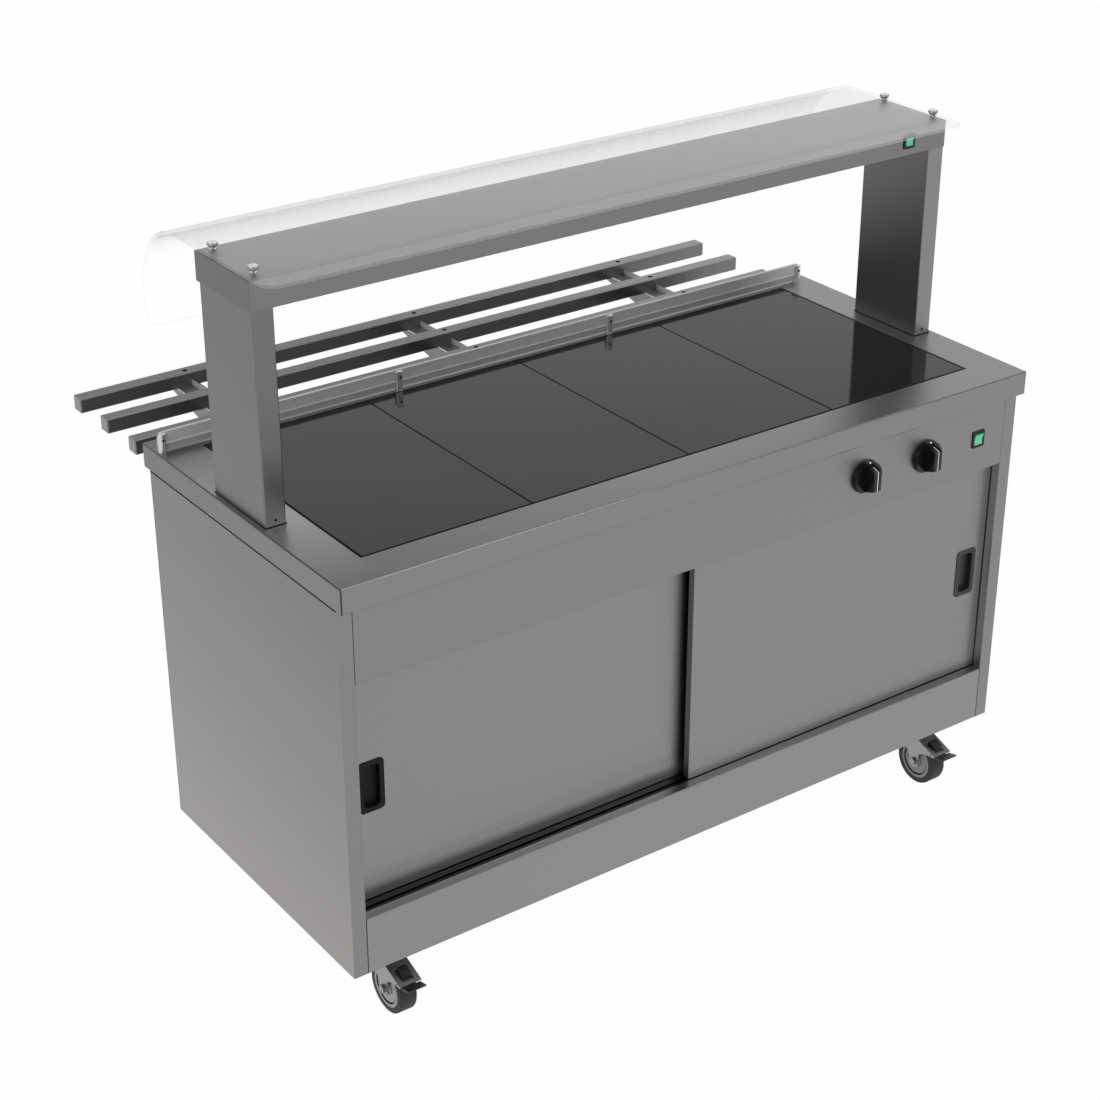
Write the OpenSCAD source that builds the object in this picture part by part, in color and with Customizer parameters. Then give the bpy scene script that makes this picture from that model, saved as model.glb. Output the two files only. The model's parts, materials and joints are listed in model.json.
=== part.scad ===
// Mobile hot cupboard with a ceramic hot top, a heated gantry and a tray slide.
// Millimetres, +Z up. The origin is on the floor, under the middle of the whole footprint.
// The operator stands at -Y, customers at +Y.

/* [Worktop] */
// Length of the worktop
worktop_l = 1500; // [1490:2:1560]
// Depth of the worktop, front to back
worktop_d = 678; // [670:2:720]
// Height of the worktop above the floor
worktop_h = 905; // [880:5:940]
// Depth of the folded skirt round the worktop
skirt_h = 46; // [42:1:56]
// Gauge of the worktop sheet
top_t = 1.5; // [1:0.5:2]
// Width of the lip turned in under the skirt
skirt_lip = 26; // [22:1:30]

/* [Ceramic top] */
// Number of ceramic panels
panel_n = 4; // [3:1:4]
// Width of one ceramic panel
panel_w = 329; // [300:1:330]
// Depth of one ceramic panel
panel_d = 525; // [500:1:530]
// Thickness of the ceramic
panel_t = 4; // [3:0.5:6]
// Width of the black seal round each panel
seal_w = 3; // [2:0.5:4]
// How far the ceramic field sits behind the middle of the worktop
field_y = 4; // [0:1:8]
// Depth of the collar folded down round the opening
collar_h = 20; // [16:1:24]
// Width of the ledge at the foot of the collar
collar_lip = 9; // [7:1:12]
// Depth of the heater pans below the worktop surface
pan_depth = 40; // [34:1:44]
// Radius of the insulating disc under each radiant element
element_r = 130; // [110:2:136]

/* [Cabinet] */
// Inset of the cabinet sides from the worktop ends
side_inset = 1; // [0.5:0.5:6]
// Inset of the cabinet front from the worktop edge
front_inset = 18.5; // [14:0.5:24]
// Inset of the cabinet back from the worktop edge
back_inset = 20.8; // [18:0.5:26]
// Height of the underside of the cabinet above the floor
ground_h = 147; // [145:1:155]
// Gauge of the cabinet sheet
skin_t = 1.5; // [1:0.25:2]
// Width of the side strips beside the doors
strip_w = 28; // [24:1:32]
// Height of the control fascia
fascia_h = 144; // [132:1:150]
// Height of the plinth below the doors
plinth_h = 113; // [100:1:120]
// Depth of the ledge on top of the plinth
ledge_d = 20; // [19:0.5:24]
// Gap at each end of the fascia and plinth
seam = 0.8; // [0.5:0.1:1.2]
// Insulation space behind the cupboard
rear_space = 27; // [20:1:34]
// Width of the stiffening flanges
flange_w = 20; // [16:1:24]

/* [Doors] */
// Thickness of a door
door_t = 14; // [13:0.5:16]
// Gap between the two doors, front to back
door_gap = 11; // [8:0.5:14]
// How far the closed doors overlap
door_lap = 24; // [20:1:40]
// Clearance between a closed door and its side strip
door_clear = 2; // [1:0.5:4]
// How far a door reaches up behind the fascia
door_rise = 18; // [14:1:22]
// Clearance under a door
door_foot = 2; // [1:0.5:3]
// Width of the grooves that the glides run in
groove_w = 6; // [5:0.5:7]
// Depth of the grooves in the lower track
groove_h = 7; // [5:0.5:8]
// Thickness of the glide blades
glide_t = 5; // [3.5:0.25:5.25]
// Length of a glide
glide_l = 60; // [40:5:80]
// Width of a finger cup
cup_w = 50; // [44:1:56]
// Height of a finger cup
cup_h = 100; // [80:2:120]
// Depth of the pocket that takes a finger cup
cup_depth = 11; // [9:0.5:12]
// Distance from the closing edge of a door to the middle of its cup
cup_edge = 48; // [40:1:70]
// Height of the middle of the cups above the plinth
cup_z = 225; // [150:5:300]

/* [Cupboard inside] */
// Height of the lower runners above the cupboard floor
low_shelf = 45; // [40:1:60]
// Height of the upper runners above the cupboard floor
mid_shelf = 240; // [200:5:300]
// Gauge of the shelves
shelf_t = 1.5; // [1:0.25:2]
// Depth of the folded shelf edges
shelf_edge = 22; // [16:1:26]
// Diameter of the cupboard heating element
rod_d = 8; // [6:0.5:9]
// Height of the element above the cupboard floor
rod_z = 16; // [12:1:20]

/* [Controls] */
// Distance from the right end of the cabinet to the outer knob
knob_x = 230; // [200:1:260]
// Spacing of the knobs
knob_pitch = 151; // [100:1:170]
// Radius of a knob skirt
knob_r = 33; // [28:0.5:36]
// How far a knob stands out
knob_h = 32; // [26:0.5:36]
// Height of the controls below the worktop surface
control_drop = 120.6; // [110:0.5:126]
// Diameter of a control spindle
spindle_d = 6; // [5:0.5:8]
// Radial running clearance of spindles, pins and wheels
run_fit = 0.05; // [0.03:0.01:0.09]
// Distance from the right end of the cabinet to the cupboard switch
switch_x = 95; // [80:1:110]
// Width of the cupboard switch
switch_w = 31; // [28:0.5:34]
// Height of the cupboard switch
switch_h = 34; // [30:0.5:38]
// Tilt of a switch rocker at rest
rocker_tilt = 7; // [5:0.5:8]

/* [Gantry] */
// Clear height under the gantry head
gantry_h = 375; // [340:5:400]
// Height of the gantry head
head_h = 51; // [45:1:56]
// Depth of a gantry leg
leg_d = 172; // [160:2:190]
// Width of a gantry leg
leg_w = 39; // [34:1:44]
// Inset of the legs from the worktop ends
leg_inset = 10; // [8:1:14]
// Distance of the gantry front face before the middle of the worktop
gantry_front = 86; // [80:1:92]
// Gauge of the gantry sheet
gantry_t = 1.5; // [1:0.25:2]
// How far the head passes the legs at each end
head_side = 2; // [1:0.5:4]
// How far the head passes the legs at the back
head_rear = 8; // [4:1:12]
// Width of the lip round the lamp opening
lamp_lip = 20; // [16:1:24]
// Length of the lamp opening
lamp_run = 1180; // [1100:10:1200]
// Number of lamps
lamp_n = 4; // [3:1:5]
// Diameter of a lamp tube
lamp_d = 10; // [8:0.5:12]
// Spacing of the guard rods
guard_pitch = 59; // [50:1:70]
// Width of the gantry switch
small_switch_w = 28; // [26:0.5:30]
// Distance from the right end of the worktop to the gantry switch
small_switch_x = 101; // [90:1:112]

/* [Glass] */
// Thickness of the glass
glass_t = 6; // [5:0.5:8]
// How far the gantry glass passes the head at the front
glass_front = 55; // [45:1:65]
// Distance from the gantry front face to the start of the bend
glass_flat = 250; // [225:1:265]
// Outer radius of the bend
glass_bend = 138; // [120:1:150]
// Total drop of the bent glass
glass_drop = 205; // [180:5:260]
// Radius of the glass corners
glass_corner = 30; // [20:1:40]
// Diameter of the glass fixings at the head
fixing_d = 18; // [15:0.5:22]
// Height of a glass fixing above the glass
fixing_h = 12; // [10:0.5:20]
// Distance of the fixings from the ends of the gantry glass
fixing_x = 17; // [15:1:24]
// Height of the top of the rear glass strip above the worktop
strip_top = 38; // [34:1:50]
// Distance of the strip face from the rear edge of the worktop
strip_y = 59; // [52:1:62]
// Inset of the strip ends from the worktop ends
strip_inset = 15; // [12:1:20]
// How far the glass strip and its posts stand off centre, towards the left end
strip_shift = 11; // [0:1:12]
// Diameter of a strip post
post_d = 15; // [14:0.5:19]
// Height of a strip post
post_h = 36; // [30:1:40]
// Number of strip posts
post_n = 4; // [3:1:5]

/* [Tray slide] */
// Side of a tray tube
tube_w = 28.5; // [25:0.5:32]
// Wall of a tray tube
tube_t = 1.5; // [1:0.25:2]
// Spacing of the tray tubes
tube_pitch = 113.4; // [90:0.2:120]
// Gap between the worktop and the first tube
tray_gap = 50; // [40:1:60]
// Inset of the tube ends from the worktop ends
tube_inset = 9; // [4:1:20]
// Spacing of the tray brackets
bracket_pitch = 517; // [450:1:560]
// Width of a tray bracket
bracket_w = 50; // [40:1:60]
// Depth of a bracket where it meets the cabinet
bracket_root = 76; // [60:1:90]
// Gauge of the brackets
bracket_t = 2; // [1.5:0.25:3]

/* [Castors] */
// Diameter of a wheel
wheel_d = 100; // [96:1:104]
// Width of a wheel
wheel_w = 35; // [30:0.5:36]
// Distance of the swivel axis from the cabinet ends
castor_x = 112; // [100:0.5:140]
// Distance of the swivel axis from the cabinet front
castor_y = 97; // [90:1:120]
// How far the wheel trails its swivel axis
trail = 38; // [34:1:42]
// Width of a castor plate
plate_w = 90; // [80:1:96]
// Thickness of a castor plate and of the fork metal
plate_t = 3; // [2.5:0.25:3.5]
// Diameter of the axle bolt
axle_d = 10; // [8:0.5:12]
// Radius of the hub, under the tyre
hub_r = 38; // [34:0.5:40]

/* [Hidden] */
$fn = 48;

// Small clearances
push_fit = 0.02;
seat_gap = 0.3;

// Worktop and ceramic field
top_z = worktop_h;
skirt_z = top_z - skirt_h;
field_w = panel_n * (panel_w + seal_w) + seal_w;
field_d = panel_d + 2 * seal_w;
ledge_z = top_z - collar_h;

// Radiant elements, on their insulating discs
ribbon_r = [0.3, 0.5, 0.7, 0.9];
ribbon_w = 8;
ribbon_h = 3;

// Cabinet planes, from the middle of the worktop
cab_x = worktop_l / 2 - side_inset;
cab_f = -worktop_d / 2 + front_inset;
cab_b = worktop_d / 2 - back_inset;
jamb_x = cab_x - strip_w;
fascia_z = skirt_z - fascia_h;
sill_z = ground_h + plinth_h;
base_z = ground_h + skin_t;

// Door planes
front_door_y = cab_f + ledge_d + 0.5;
rear_door_y = front_door_y + door_t + door_gap;
track_y0 = cab_f + ledge_d;
track_y1 = rear_door_y + door_t + 5;
door_w = jamb_x - door_clear + door_lap / 2;
door_z0 = sill_z + door_foot;
door_z1 = fascia_z + door_rise;
track_z0 = door_z1 + 2;
track_z1 = track_z0 + 12;
head_groove = 9;
glide_let_in = 8;
glide_inset = 40;
cup_rim = 6;
cup_corner = 7;

// Liner
liner_b = cab_b - rear_space;
liner_top = track_z1;
liner_foot = 40;
liner_foot_inset = 100;

// Folds of the plinth: the lip behind its ledge and the foot under the base
plinth_lip = 12;
plinth_foot = 25;
fascia_flange = 14;

// Controls
control_z = top_z - control_drop;
knob_gap = 0.6;
skirt_t = 9;
grip_w = 18;
bore_depth = 22;
neck_h = 4;
thermostat_w = 40;
thermostat_d = 30;

// Gantry planes
leg_x1 = worktop_l / 2 - leg_inset;
leg_x0 = leg_x1 - leg_w;
head_x = leg_x1 + head_side;
head_y0 = -gantry_front;
head_y1 = head_y0 + leg_d + head_rear;
head_z = top_z + gantry_h;
glass_z = head_z + head_h;
glass_x = leg_x1;
switch_rise = 1;
lamp_z = head_z + 19;
lamp_pitch = lamp_run / lamp_n;

// Tray slide
tray_z = skirt_z;
tube_y0 = worktop_d / 2 + tray_gap;
tube_x = worktop_l / 2 - tube_inset;
tray_rear = tube_y0 + 2 * tube_pitch + tube_w;

// Castors
fork_in = wheel_w / 2 + 1.5;
wheel_r = wheel_d / 2;
crown_z = ground_h - 11;
cup_r = 30;
king_r = 6;
cheek_r = 13;
castor_ax = cab_x - castor_x;
castor_ay = castor_y;

// Brake side of a fork, forward and up from the axle
nose = [-57, 37];
cover_bend = [-5, 56];
pedal_pin = [-46, 36.6];
pedal_pin_r = 2;
pad_w = 20;
rib_r = 0.9;

// The middle of the footprint, so that the origin lies under it
knob_reach = -cab_f + knob_gap + knob_h;
mid_y = (tray_rear - knob_reach) / 2;

steel = "#8b8b8a";
dark = "#2b2b2c";

// Range of a given width about a middle
function span(mid, width) = [mid - width / 2, mid + width / 2];

module block(x, y, z) {
    translate([x[0], y[0], z[0]]) cube([x[1] - x[0], y[1] - y[0], z[1] - z[0]]);
}

module place() {
    translate([0, -mid_y, 0]) children();
}

module pair(x) {
    for (s = [-1, 1]) translate([s * x, 0, 0]) children();
}

// Upright plate with round corners: width along X, height along Y, standing on Z
module round_plate(w, h, r, t) {
    linear_extrude(t) union() {
        square([w - 2 * r, h], center = true);
        square([w, h - 2 * r], center = true);
        for (x = [-1, 1], y = [-1, 1]) translate([x * (w / 2 - r), y * (h / 2 - r)]) circle(r);
    }
}

// Slot with round ends, long along X
module slot(l, w, t) {
    linear_extrude(t) union() {
        square([l - w, w], center = true);
        for (s = [-1, 1]) translate([s * (l - w) / 2, 0]) circle(d = w);
    }
}

// Turns a piece that is drawn facing up so that it faces the operator, up still up
module face_front(x, y, z) {
    translate([x, y, z]) rotate([90, 0, 0]) children();
}

module worktop() {
    color(steel) place() {
        difference() {
            table_block(0, [skirt_z, top_z]);
            table_block(top_t, [skirt_z + top_t, top_z - top_t]);
            table_block(skirt_lip, [skirt_z - 1, skirt_z + top_t + 1]);
            field_block(0, [top_z - top_t - 1, top_z + 1]);
        }
        difference() {
            field_block(top_t, [ledge_z - top_t, top_z - top_t / 2]);
            field_block(0, [ledge_z, top_z + 1]);
            field_block(-collar_lip, [ledge_z - top_t - 1, ledge_z + 1]);
        }
    }
}

// Block of the worktop's outline, drawn in from its edge
module table_block(inset, z) {
    x = worktop_l / 2 - inset;
    y = worktop_d / 2 - inset;
    block([-x, x], [-y, y], z);
}

// Block of the ceramic field's outline, grown by a margin
module field_block(margin, z) {
    x = field_w / 2 + margin;
    y = field_d / 2 + margin;
    translate([0, field_y, 0]) block([-x, x], [-y, y], z);
}

// Places one copy at each ceramic panel
module each_panel() {
    for (i = [0:panel_n - 1])
        translate([(i - (panel_n - 1) / 2) * (panel_w + seal_w), field_y, 0]) children();
}

module panel_blank(z0, z1) {
    block([-panel_w / 2, panel_w / 2], [-panel_d / 2, panel_d / 2], [z0, z1]);
}

module ceramic_panels() {
    color("#3c3c3e") place() each_panel() panel_blank(top_z - panel_t, top_z);
}

module panel_seal() {
    color("#161616") place() difference() {
        field_block(0, [top_z - panel_t, top_z]);
        each_panel() panel_blank(top_z - panel_t - 1, top_z + 1);
    }
}

pan_edge = 1;
pan_floor_z = top_z - pan_depth;

// Block of a heater pan, in from the panel's sides and from the field's ends
module pan_block(inset, z) {
    x = panel_w / 2 - inset;
    y = field_d / 2 - inset;
    block([-x, x], [-y, y], z);
}

// Stepped pans that rest on the collar ledge under the panels
module heater_pans() {
    step = collar_lip + 2;
    color("#9a9a98") place() each_panel() difference() {
        union() {
            pan_block(pan_edge, [ledge_z, top_z - panel_t]);
            pan_block(step, [pan_floor_z, ledge_z + 1]);
        }
        pan_block(pan_edge + skin_t, [ledge_z + skin_t, top_z]);
        pan_block(step + skin_t, [pan_floor_z + skin_t, top_z]);
    }
}

// Insulating discs with raised heating ribbons, one in each pan
module radiant_elements() {
    top = pan_depth - skin_t - panel_t - 10;
    base = top - ribbon_h;
    half = ribbon_w / 2;
    profile = [for (share = ribbon_r) let (r = share * element_r)
        each [[r - half, base], [r - half, top], [r + half, top], [r + half, base]]];
    color("#d8d3c6") place() each_panel() translate([0, 0, pan_floor_z + skin_t])
        rotate_extrude() polygon(concat([[0, 0], [0, base]], profile, [[element_r, base], [element_r, 0]]));
}

// Folded side: outer skin, front strip, return beside the doors, and flanges
module side_panel() {
    y1 = cab_b - skin_t;
    block([cab_x - skin_t, cab_x], [cab_f, y1], [ground_h, skirt_z]);
    block([jamb_x, cab_x], [cab_f, cab_f + skin_t], [ground_h, skirt_z]);
    block([jamb_x, jamb_x + skin_t], [cab_f, track_y1], [ground_h, skirt_z]);
    block([cab_x - flange_w, cab_x], [y1 - skin_t, y1], [ground_h, skirt_z]);
    for (z = [ground_h, skirt_z - skin_t])
        block([cab_x - flange_w, cab_x], [cab_f, y1], [z, z + skin_t]);
}

module side_right() {
    color(steel) place() side_panel();
}

module side_left() {
    color(steel) place() mirror([1, 0, 0]) side_panel();
}

module back_panel() {
    color(steel) place() difference() {
        block([-cab_x, cab_x], [cab_b - skin_t, cab_b], [ground_h, skirt_z]);
        gland_axis() translate([0, 0, -10]) cylinder(r = gland_r, h = 20);
    }
}

module base_panel() {
    x = cab_x - skin_t;
    color(steel) place() difference() {
        block([-x, x], [cab_f + skin_t, cab_b - 2 * skin_t], [base_z, base_z + plate_t]);
        for (s = [0, 1]) mirror([s, 0, 0])
            block([jamb_x, x + 1], [cab_f, track_y1 + seam], [base_z - 1, base_z + plate_t + 1]);
    }
}

// Pressed plinth with its ledge, a lip behind the ledge and a foot under the base
module plinth() {
    x = jamb_x - seam;
    color(steel) place() {
        block([-x, x], [cab_f, cab_f + skin_t], [ground_h, sill_z]);
        block([-x, x], [cab_f, track_y0], [sill_z - skin_t, sill_z]);
        block([-x, x], [track_y0 - skin_t, track_y0], [sill_z - plinth_lip, sill_z]);
        block([-x, x], [cab_f, cab_f + plinth_foot], [ground_h, base_z]);
    }
}

// Control fascia, folded under and up again in front of the doors
module fascia() {
    x = jamb_x - seam;
    y1 = track_y0 - 1;
    color(steel) place() difference() {
        union() {
            block([-x, x], [cab_f, cab_f + skin_t], [fascia_z, skirt_z]);
            block([-x, x], [cab_f, y1], [fascia_z, fascia_z + skin_t]);
            block([-x, x], [y1 - skin_t, y1], [fascia_z, track_z1]);
            block([-x, x], [cab_f, cab_f + fascia_flange], [skirt_z - skin_t, skirt_z]);
        }
        each_knob() translate([0, 0, -5]) cylinder(d = spindle_d + 4, h = 10);
        big_switch() translate([0, 0, -10]) round_plate(switch_w - 4, switch_h - 4, 1, 20);
    }
}

// Rail that the door heads run in
module upper_track() {
    x = jamb_x - seat_gap;
    y0 = track_y0 - 1;
    color("#a5a6a6") place() difference() {
        block([-x, x], [y0, track_y1], [track_z0, track_z1]);
        door_grooves(x + 1, [track_z0 - 1, track_z0 + head_groove]);
    }
}

// Rail with the two grooves that guide the door feet
module lower_track() {
    x = jamb_x - seat_gap;
    color("#a5a6a6") place() difference() {
        block([-x, x], [track_y0, track_y1], [sill_z - groove_h - 3, sill_z]);
        door_grooves(x + 1, [sill_z - groove_h, sill_z + 1]);
    }
}

module door_grooves(x, z) {
    for (y = [front_door_y, rear_door_y])
        block([-x, x], span(y + door_t / 2, groove_w), z);
}

// Inner box of the cupboard, open to the front
module cupboard_liner() {
    x = jamb_x + skin_t;
    color("#9b9c9c") place() {
        difference() {
            block([-x, x], [track_y1, liner_b], [sill_z - skin_t, liner_top]);
            block([-jamb_x, jamb_x], [track_y1 - 1, liner_b - skin_t], [sill_z, liner_top - skin_t]);
        }
        block([-jamb_x, jamb_x], [track_y1, track_y1 + skin_t], [sill_z - groove_h - 3, sill_z]);
        pair(jamb_x / 2) for (y = [track_y1 + liner_foot_inset, liner_b - liner_foot_inset])
            block([-liner_foot / 2, liner_foot / 2], [y - liner_foot / 2, y + liner_foot / 2],
                  [base_z + plate_t, sill_z - skin_t]);
    }
}

shelf_levels = [sill_z + low_shelf, sill_z + mid_shelf];
runner_w = 16;
shelf_gap = 2;
vent_l = 80;
vent_w = 12;

module shelf_runners() {
    color("#9b9c9c") place() for (z = shelf_levels, s = [0, 1]) mirror([s, 0, 0]) {
        block([jamb_x - runner_w, jamb_x], [track_y1 + 10, liner_b - 10], [z - skin_t, z]);
        block([jamb_x - skin_t, jamb_x], [track_y1 + 10, liner_b - 10], [z - runner_w, z]);
    }
}

// Base plate with warm-air slots and a plain middle shelf, both with folded edges
module shelves() {
    x = jamb_x - shelf_gap;
    y0 = track_y1 + vent_w;
    y1 = liner_b - vent_w;
    edge_x = x - runner_w;
    color("#a3a4a4") place() for (i = [0, 1]) difference() {
        z = shelf_levels[i];
        union() {
            block([-x, x], [y0, y1], [z, z + shelf_t]);
            for (y = [y0, y1 - shelf_t])
                block([-edge_x, edge_x], [y, y + shelf_t], [z - shelf_edge, z + shelf_t]);
        }
        if (i == 0) for (c = [-5:5], r = [-1, 1])
            translate([c * x / 6, (y0 + y1) / 2 + r * (y1 - y0) / 4, z - 1])
                slot(vent_l, vent_w, shelf_t + 2);
    }
}

// Hairpin sheathed element on three clips
module cupboard_element() {
    run = jamb_x * 0.8;
    bend_r = 60;
    y0 = (track_y1 + liner_b) / 2;
    z = sill_z + rod_z;
    color("#6d6a66") place() {
        for (s = [-1, 1]) translate([-run, y0 + s * bend_r, z]) rotate([0, 90, 0])
            cylinder(d = rod_d, h = 2 * run);
        translate([run, y0, z]) rotate([0, 0, -90]) rotate_extrude(angle = 180)
            translate([bend_r, 0]) circle(d = rod_d);
        for (x = [-run * 0.7, 0, run * 0.7])
            block([x - 8, x + 8], [y0 - bend_r - 8, y0 + bend_r + 8], [sill_z, z - rod_d / 2 + 1]);
    }
}

// Folded door, hollow and open along its head: pocket for the finger cup and slots for glides
module door(x0, x1, y, cup_x) {
    rail = glide_let_in + 4;
    mouth = glide_inset + glide_l + rail;
    y_in = span(y + door_t / 2, door_t - 2 * skin_t);
    color(steel) place() difference() {
        block([x0, x1], [y, y + door_t], [door_z0, door_z1]);
        difference() {
            union() {
                block([x0 + skin_t, x1 - skin_t], y_in, [door_z0 + rail, door_z1 - rail]);
                block([x0 + mouth, x1 - mouth], y_in, [door_z1 - rail - 1, door_z1 + 1]);
            }
            block(span(cup_x, cup_w), [y, y + door_t], span(sill_z + cup_z, cup_h));
        }
        face_front(cup_x, y, sill_z + cup_z) translate([0, 0, -cup_depth])
            round_plate(cup_w - cup_rim, cup_h - cup_rim, cup_corner, cup_depth + 1);
        glide_blades(x0, x1, y);
    }
}

module door_left() {
    door(-jamb_x + door_clear, -jamb_x + door_clear + door_w, rear_door_y, -jamb_x + cup_edge);
}

module door_right() {
    door(jamb_x - door_clear - door_w, jamb_x - door_clear, front_door_y, jamb_x - cup_edge);
}

// Moulded finger cup with a thin rim and a recess
module finger_cup(x, y) {
    color(dark) place() face_front(x, y, sill_z + cup_z) difference() {
        union() {
            translate([0, 0, -cup_depth])
                round_plate(cup_w - cup_rim, cup_h - cup_rim, cup_corner, cup_depth);
            round_plate(cup_w, cup_h, cup_corner + 2, 1.2);
        }
        translate([0, 0, 1.5 - cup_depth])
            round_plate(cup_w - 3 * cup_rim, cup_h - 3 * cup_rim, cup_corner + 1, cup_depth);
    }
}

module handle_left() {
    finger_cup(-jamb_x + cup_edge, rear_door_y);
}

module handle_right() {
    finger_cup(jamb_x - cup_edge, front_door_y);
}

// Nylon blades let into the head and foot of a door
module glide_blades(x0, x1, y) {
    y_blade = span(y + door_t / 2, glide_t);
    for (x = [x0 + glide_inset, x1 - glide_inset - glide_l]) {
        block([x, x + glide_l], y_blade, [sill_z - groove_h + seat_gap, door_z0 + glide_let_in]);
        block([x, x + glide_l], y_blade, [door_z1 - glide_let_in, track_z0 + head_groove - 2]);
    }
}

module glides_left() {
    color("#e8e6df") place()
        glide_blades(-jamb_x + door_clear, -jamb_x + door_clear + door_w, rear_door_y);
}

module glides_right() {
    color("#e8e6df") place()
        glide_blades(jamb_x - door_clear - door_w, jamb_x - door_clear, front_door_y);
}

// Places a piece on each knob axis, facing the operator
module knob_axis(i) {
    face_front(cab_x - knob_x - (1 - i) * knob_pitch, cab_f, control_z) children();
}

module each_knob() {
    for (i = [0, 1]) knob_axis(i) children();
}

// Thermostat body behind the fascia, bored for its spindle
module thermostats() {
    color("#c9c4b8") place() each_knob() difference() {
        union() {
            translate([0, 0, -skin_t - neck_h]) cylinder(d = thermostat_w * 0.6, h = neck_h);
            translate([0, 0, -skin_t - neck_h - thermostat_d])
                round_plate(thermostat_w, thermostat_w, 4, thermostat_d);
        }
        translate([0, 0, -skin_t - neck_h - bore_depth])
            cylinder(d = spindle_d + 2 * run_fit, h = bore_depth + neck_h + 1);
    }
}

module spindle() {
    color("#b9b9b7") translate([0, 0, -skin_t - neck_h - bore_depth + seat_gap])
        cylinder(d = spindle_d, h = bore_depth + neck_h + skin_t + knob_gap + bore_depth - seat_gap);
}

module spindle_left() {
    place() knob_axis(0) spindle();
}

module spindle_right() {
    place() knob_axis(1) spindle();
}

// Knob: a round skirt cut flat at its foot, and a straight-sided grip that leans back
// to the pointer
module knob() {
    grip = 0.62 * knob_r;
    foot = 0.82 * knob_r;
    color(dark) translate([0, 0, knob_gap]) difference() {
        union() {
            cylinder(r1 = knob_r, r2 = knob_r - 1.5, h = skirt_t);
            rotate([90, 0, 90]) translate([0, 0, -grip_w / 2]) linear_extrude(grip_w)
                polygon([[0.5 - foot, skirt_t - 1], [2 - grip, knob_h], [grip, knob_h],
                         [knob_r - 6, skirt_t + 4], [knob_r - 4, skirt_t - 1]]);
        }
        translate([-knob_r, -foot - knob_r, -1]) cube([2 * knob_r, knob_r, skirt_t + 2]);
        translate([0, 0, -1]) cylinder(d = spindle_d + 2 * push_fit, h = bore_depth + 1 + push_fit);
    }
}

module knob_left() {
    place() knob_axis(0) knob();
}

module knob_right() {
    place() knob_axis(1) knob();
}

well_side = 3;
rocker_pin = 1.5;
rocker_axis = -2;

// Rocker switch housing: a rim, a body behind the panel and a well with pin bores
module switch_body(w, h) {
    well_w = w - 4 - 2 * well_side;
    well_h = h - 4 - 2 * well_side;
    color("#10231c") difference() {
        union() {
            round_plate(w, h, 2.5, 1.8);
            translate([0, 0, -22]) round_plate(w - 4, h - 4, 1, 23);
            for (x = [-6, 0, 6]) block([x - 0.5, x + 0.5], [-3, 3], [-29, -21]);
        }
        block([-well_w / 2, well_w / 2], [-well_h / 2, well_h / 2], [-11, 5]);
        translate([-w / 2 - 1, 0, rocker_axis]) rotate([0, 90, 0])
            cylinder(r = rocker_pin + run_fit, h = w + 2);
    }
}

// Rocker with a shallow dip across the middle, on two pins
module rocker(w, h) {
    half_w = w / 2 - 2 - well_side - 0.4;
    half_h = h / 2 - 2 - well_side - 0.9;
    color("#35b98a") translate([0, 0, rocker_axis]) rotate([rocker_tilt, 0, 0]) {
        rotate([90, 0, 90]) translate([0, 0, -half_w]) linear_extrude(2 * half_w)
            polygon([[-half_h, -3], [half_h, -3], [half_h, 5.4], [0, 3.6], [-half_h, 5.4]]);
        translate([-w / 2 + 2 + 0.3, 0, 0]) rotate([0, 90, 0]) cylinder(r = rocker_pin, h = w - 4 - 0.6);
    }
}

module big_switch() {
    face_front(cab_x - switch_x, cab_f, control_z) children();
}

module small_switch() {
    face_front(worktop_l / 2 - small_switch_x, head_y0, head_z + head_h / 2 + switch_rise) children();
}

module cupboard_switch() {
    place() big_switch() switch_body(switch_w, switch_h);
}

module cupboard_rocker() {
    place() big_switch() rocker(switch_w, switch_h);
}

module gantry_switch() {
    place() small_switch() switch_body(small_switch_w, small_switch_w);
}

module gantry_rocker() {
    place() small_switch() rocker(small_switch_w, small_switch_w);
}

// Box leg with a foot plate, open under the head for the wiring
module leg() {
    difference() {
        block([leg_x0, leg_x1], [head_y0, head_y0 + leg_d], [top_z, head_z]);
        block([leg_x0 + gantry_t, leg_x1 - gantry_t], [head_y0 + gantry_t, head_y0 + leg_d - gantry_t],
              [top_z + 2 * gantry_t, head_z + 1]);
    }
}

module leg_right() {
    color(steel) place() leg();
}

module leg_left() {
    color(steel) place() mirror([1, 0, 0]) leg();
}

// Gantry head: a closed box with the lamp opening in its underside
module gantry_head() {
    color(steel) place() difference() {
        block([-head_x, head_x], [head_y0, head_y1], [head_z, glass_z]);
        block([-head_x + gantry_t, head_x - gantry_t], [head_y0 + gantry_t, head_y1 - gantry_t],
              [head_z + gantry_t, glass_z - gantry_t]);
        block([-lamp_run / 2, lamp_run / 2], [head_y0 + lamp_lip, head_y1 - lamp_lip],
              [head_z - 1, head_z + 5]);
        small_switch() translate([0, 0, -10])
            round_plate(small_switch_w - 4, small_switch_w - 4, 1, 20);
    }
}

head_mid = (head_y0 + head_y1) / 2;
half_lamp = (head_y1 - head_y0) / 2 - lamp_lip;

reflector_lip = 10;

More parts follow.
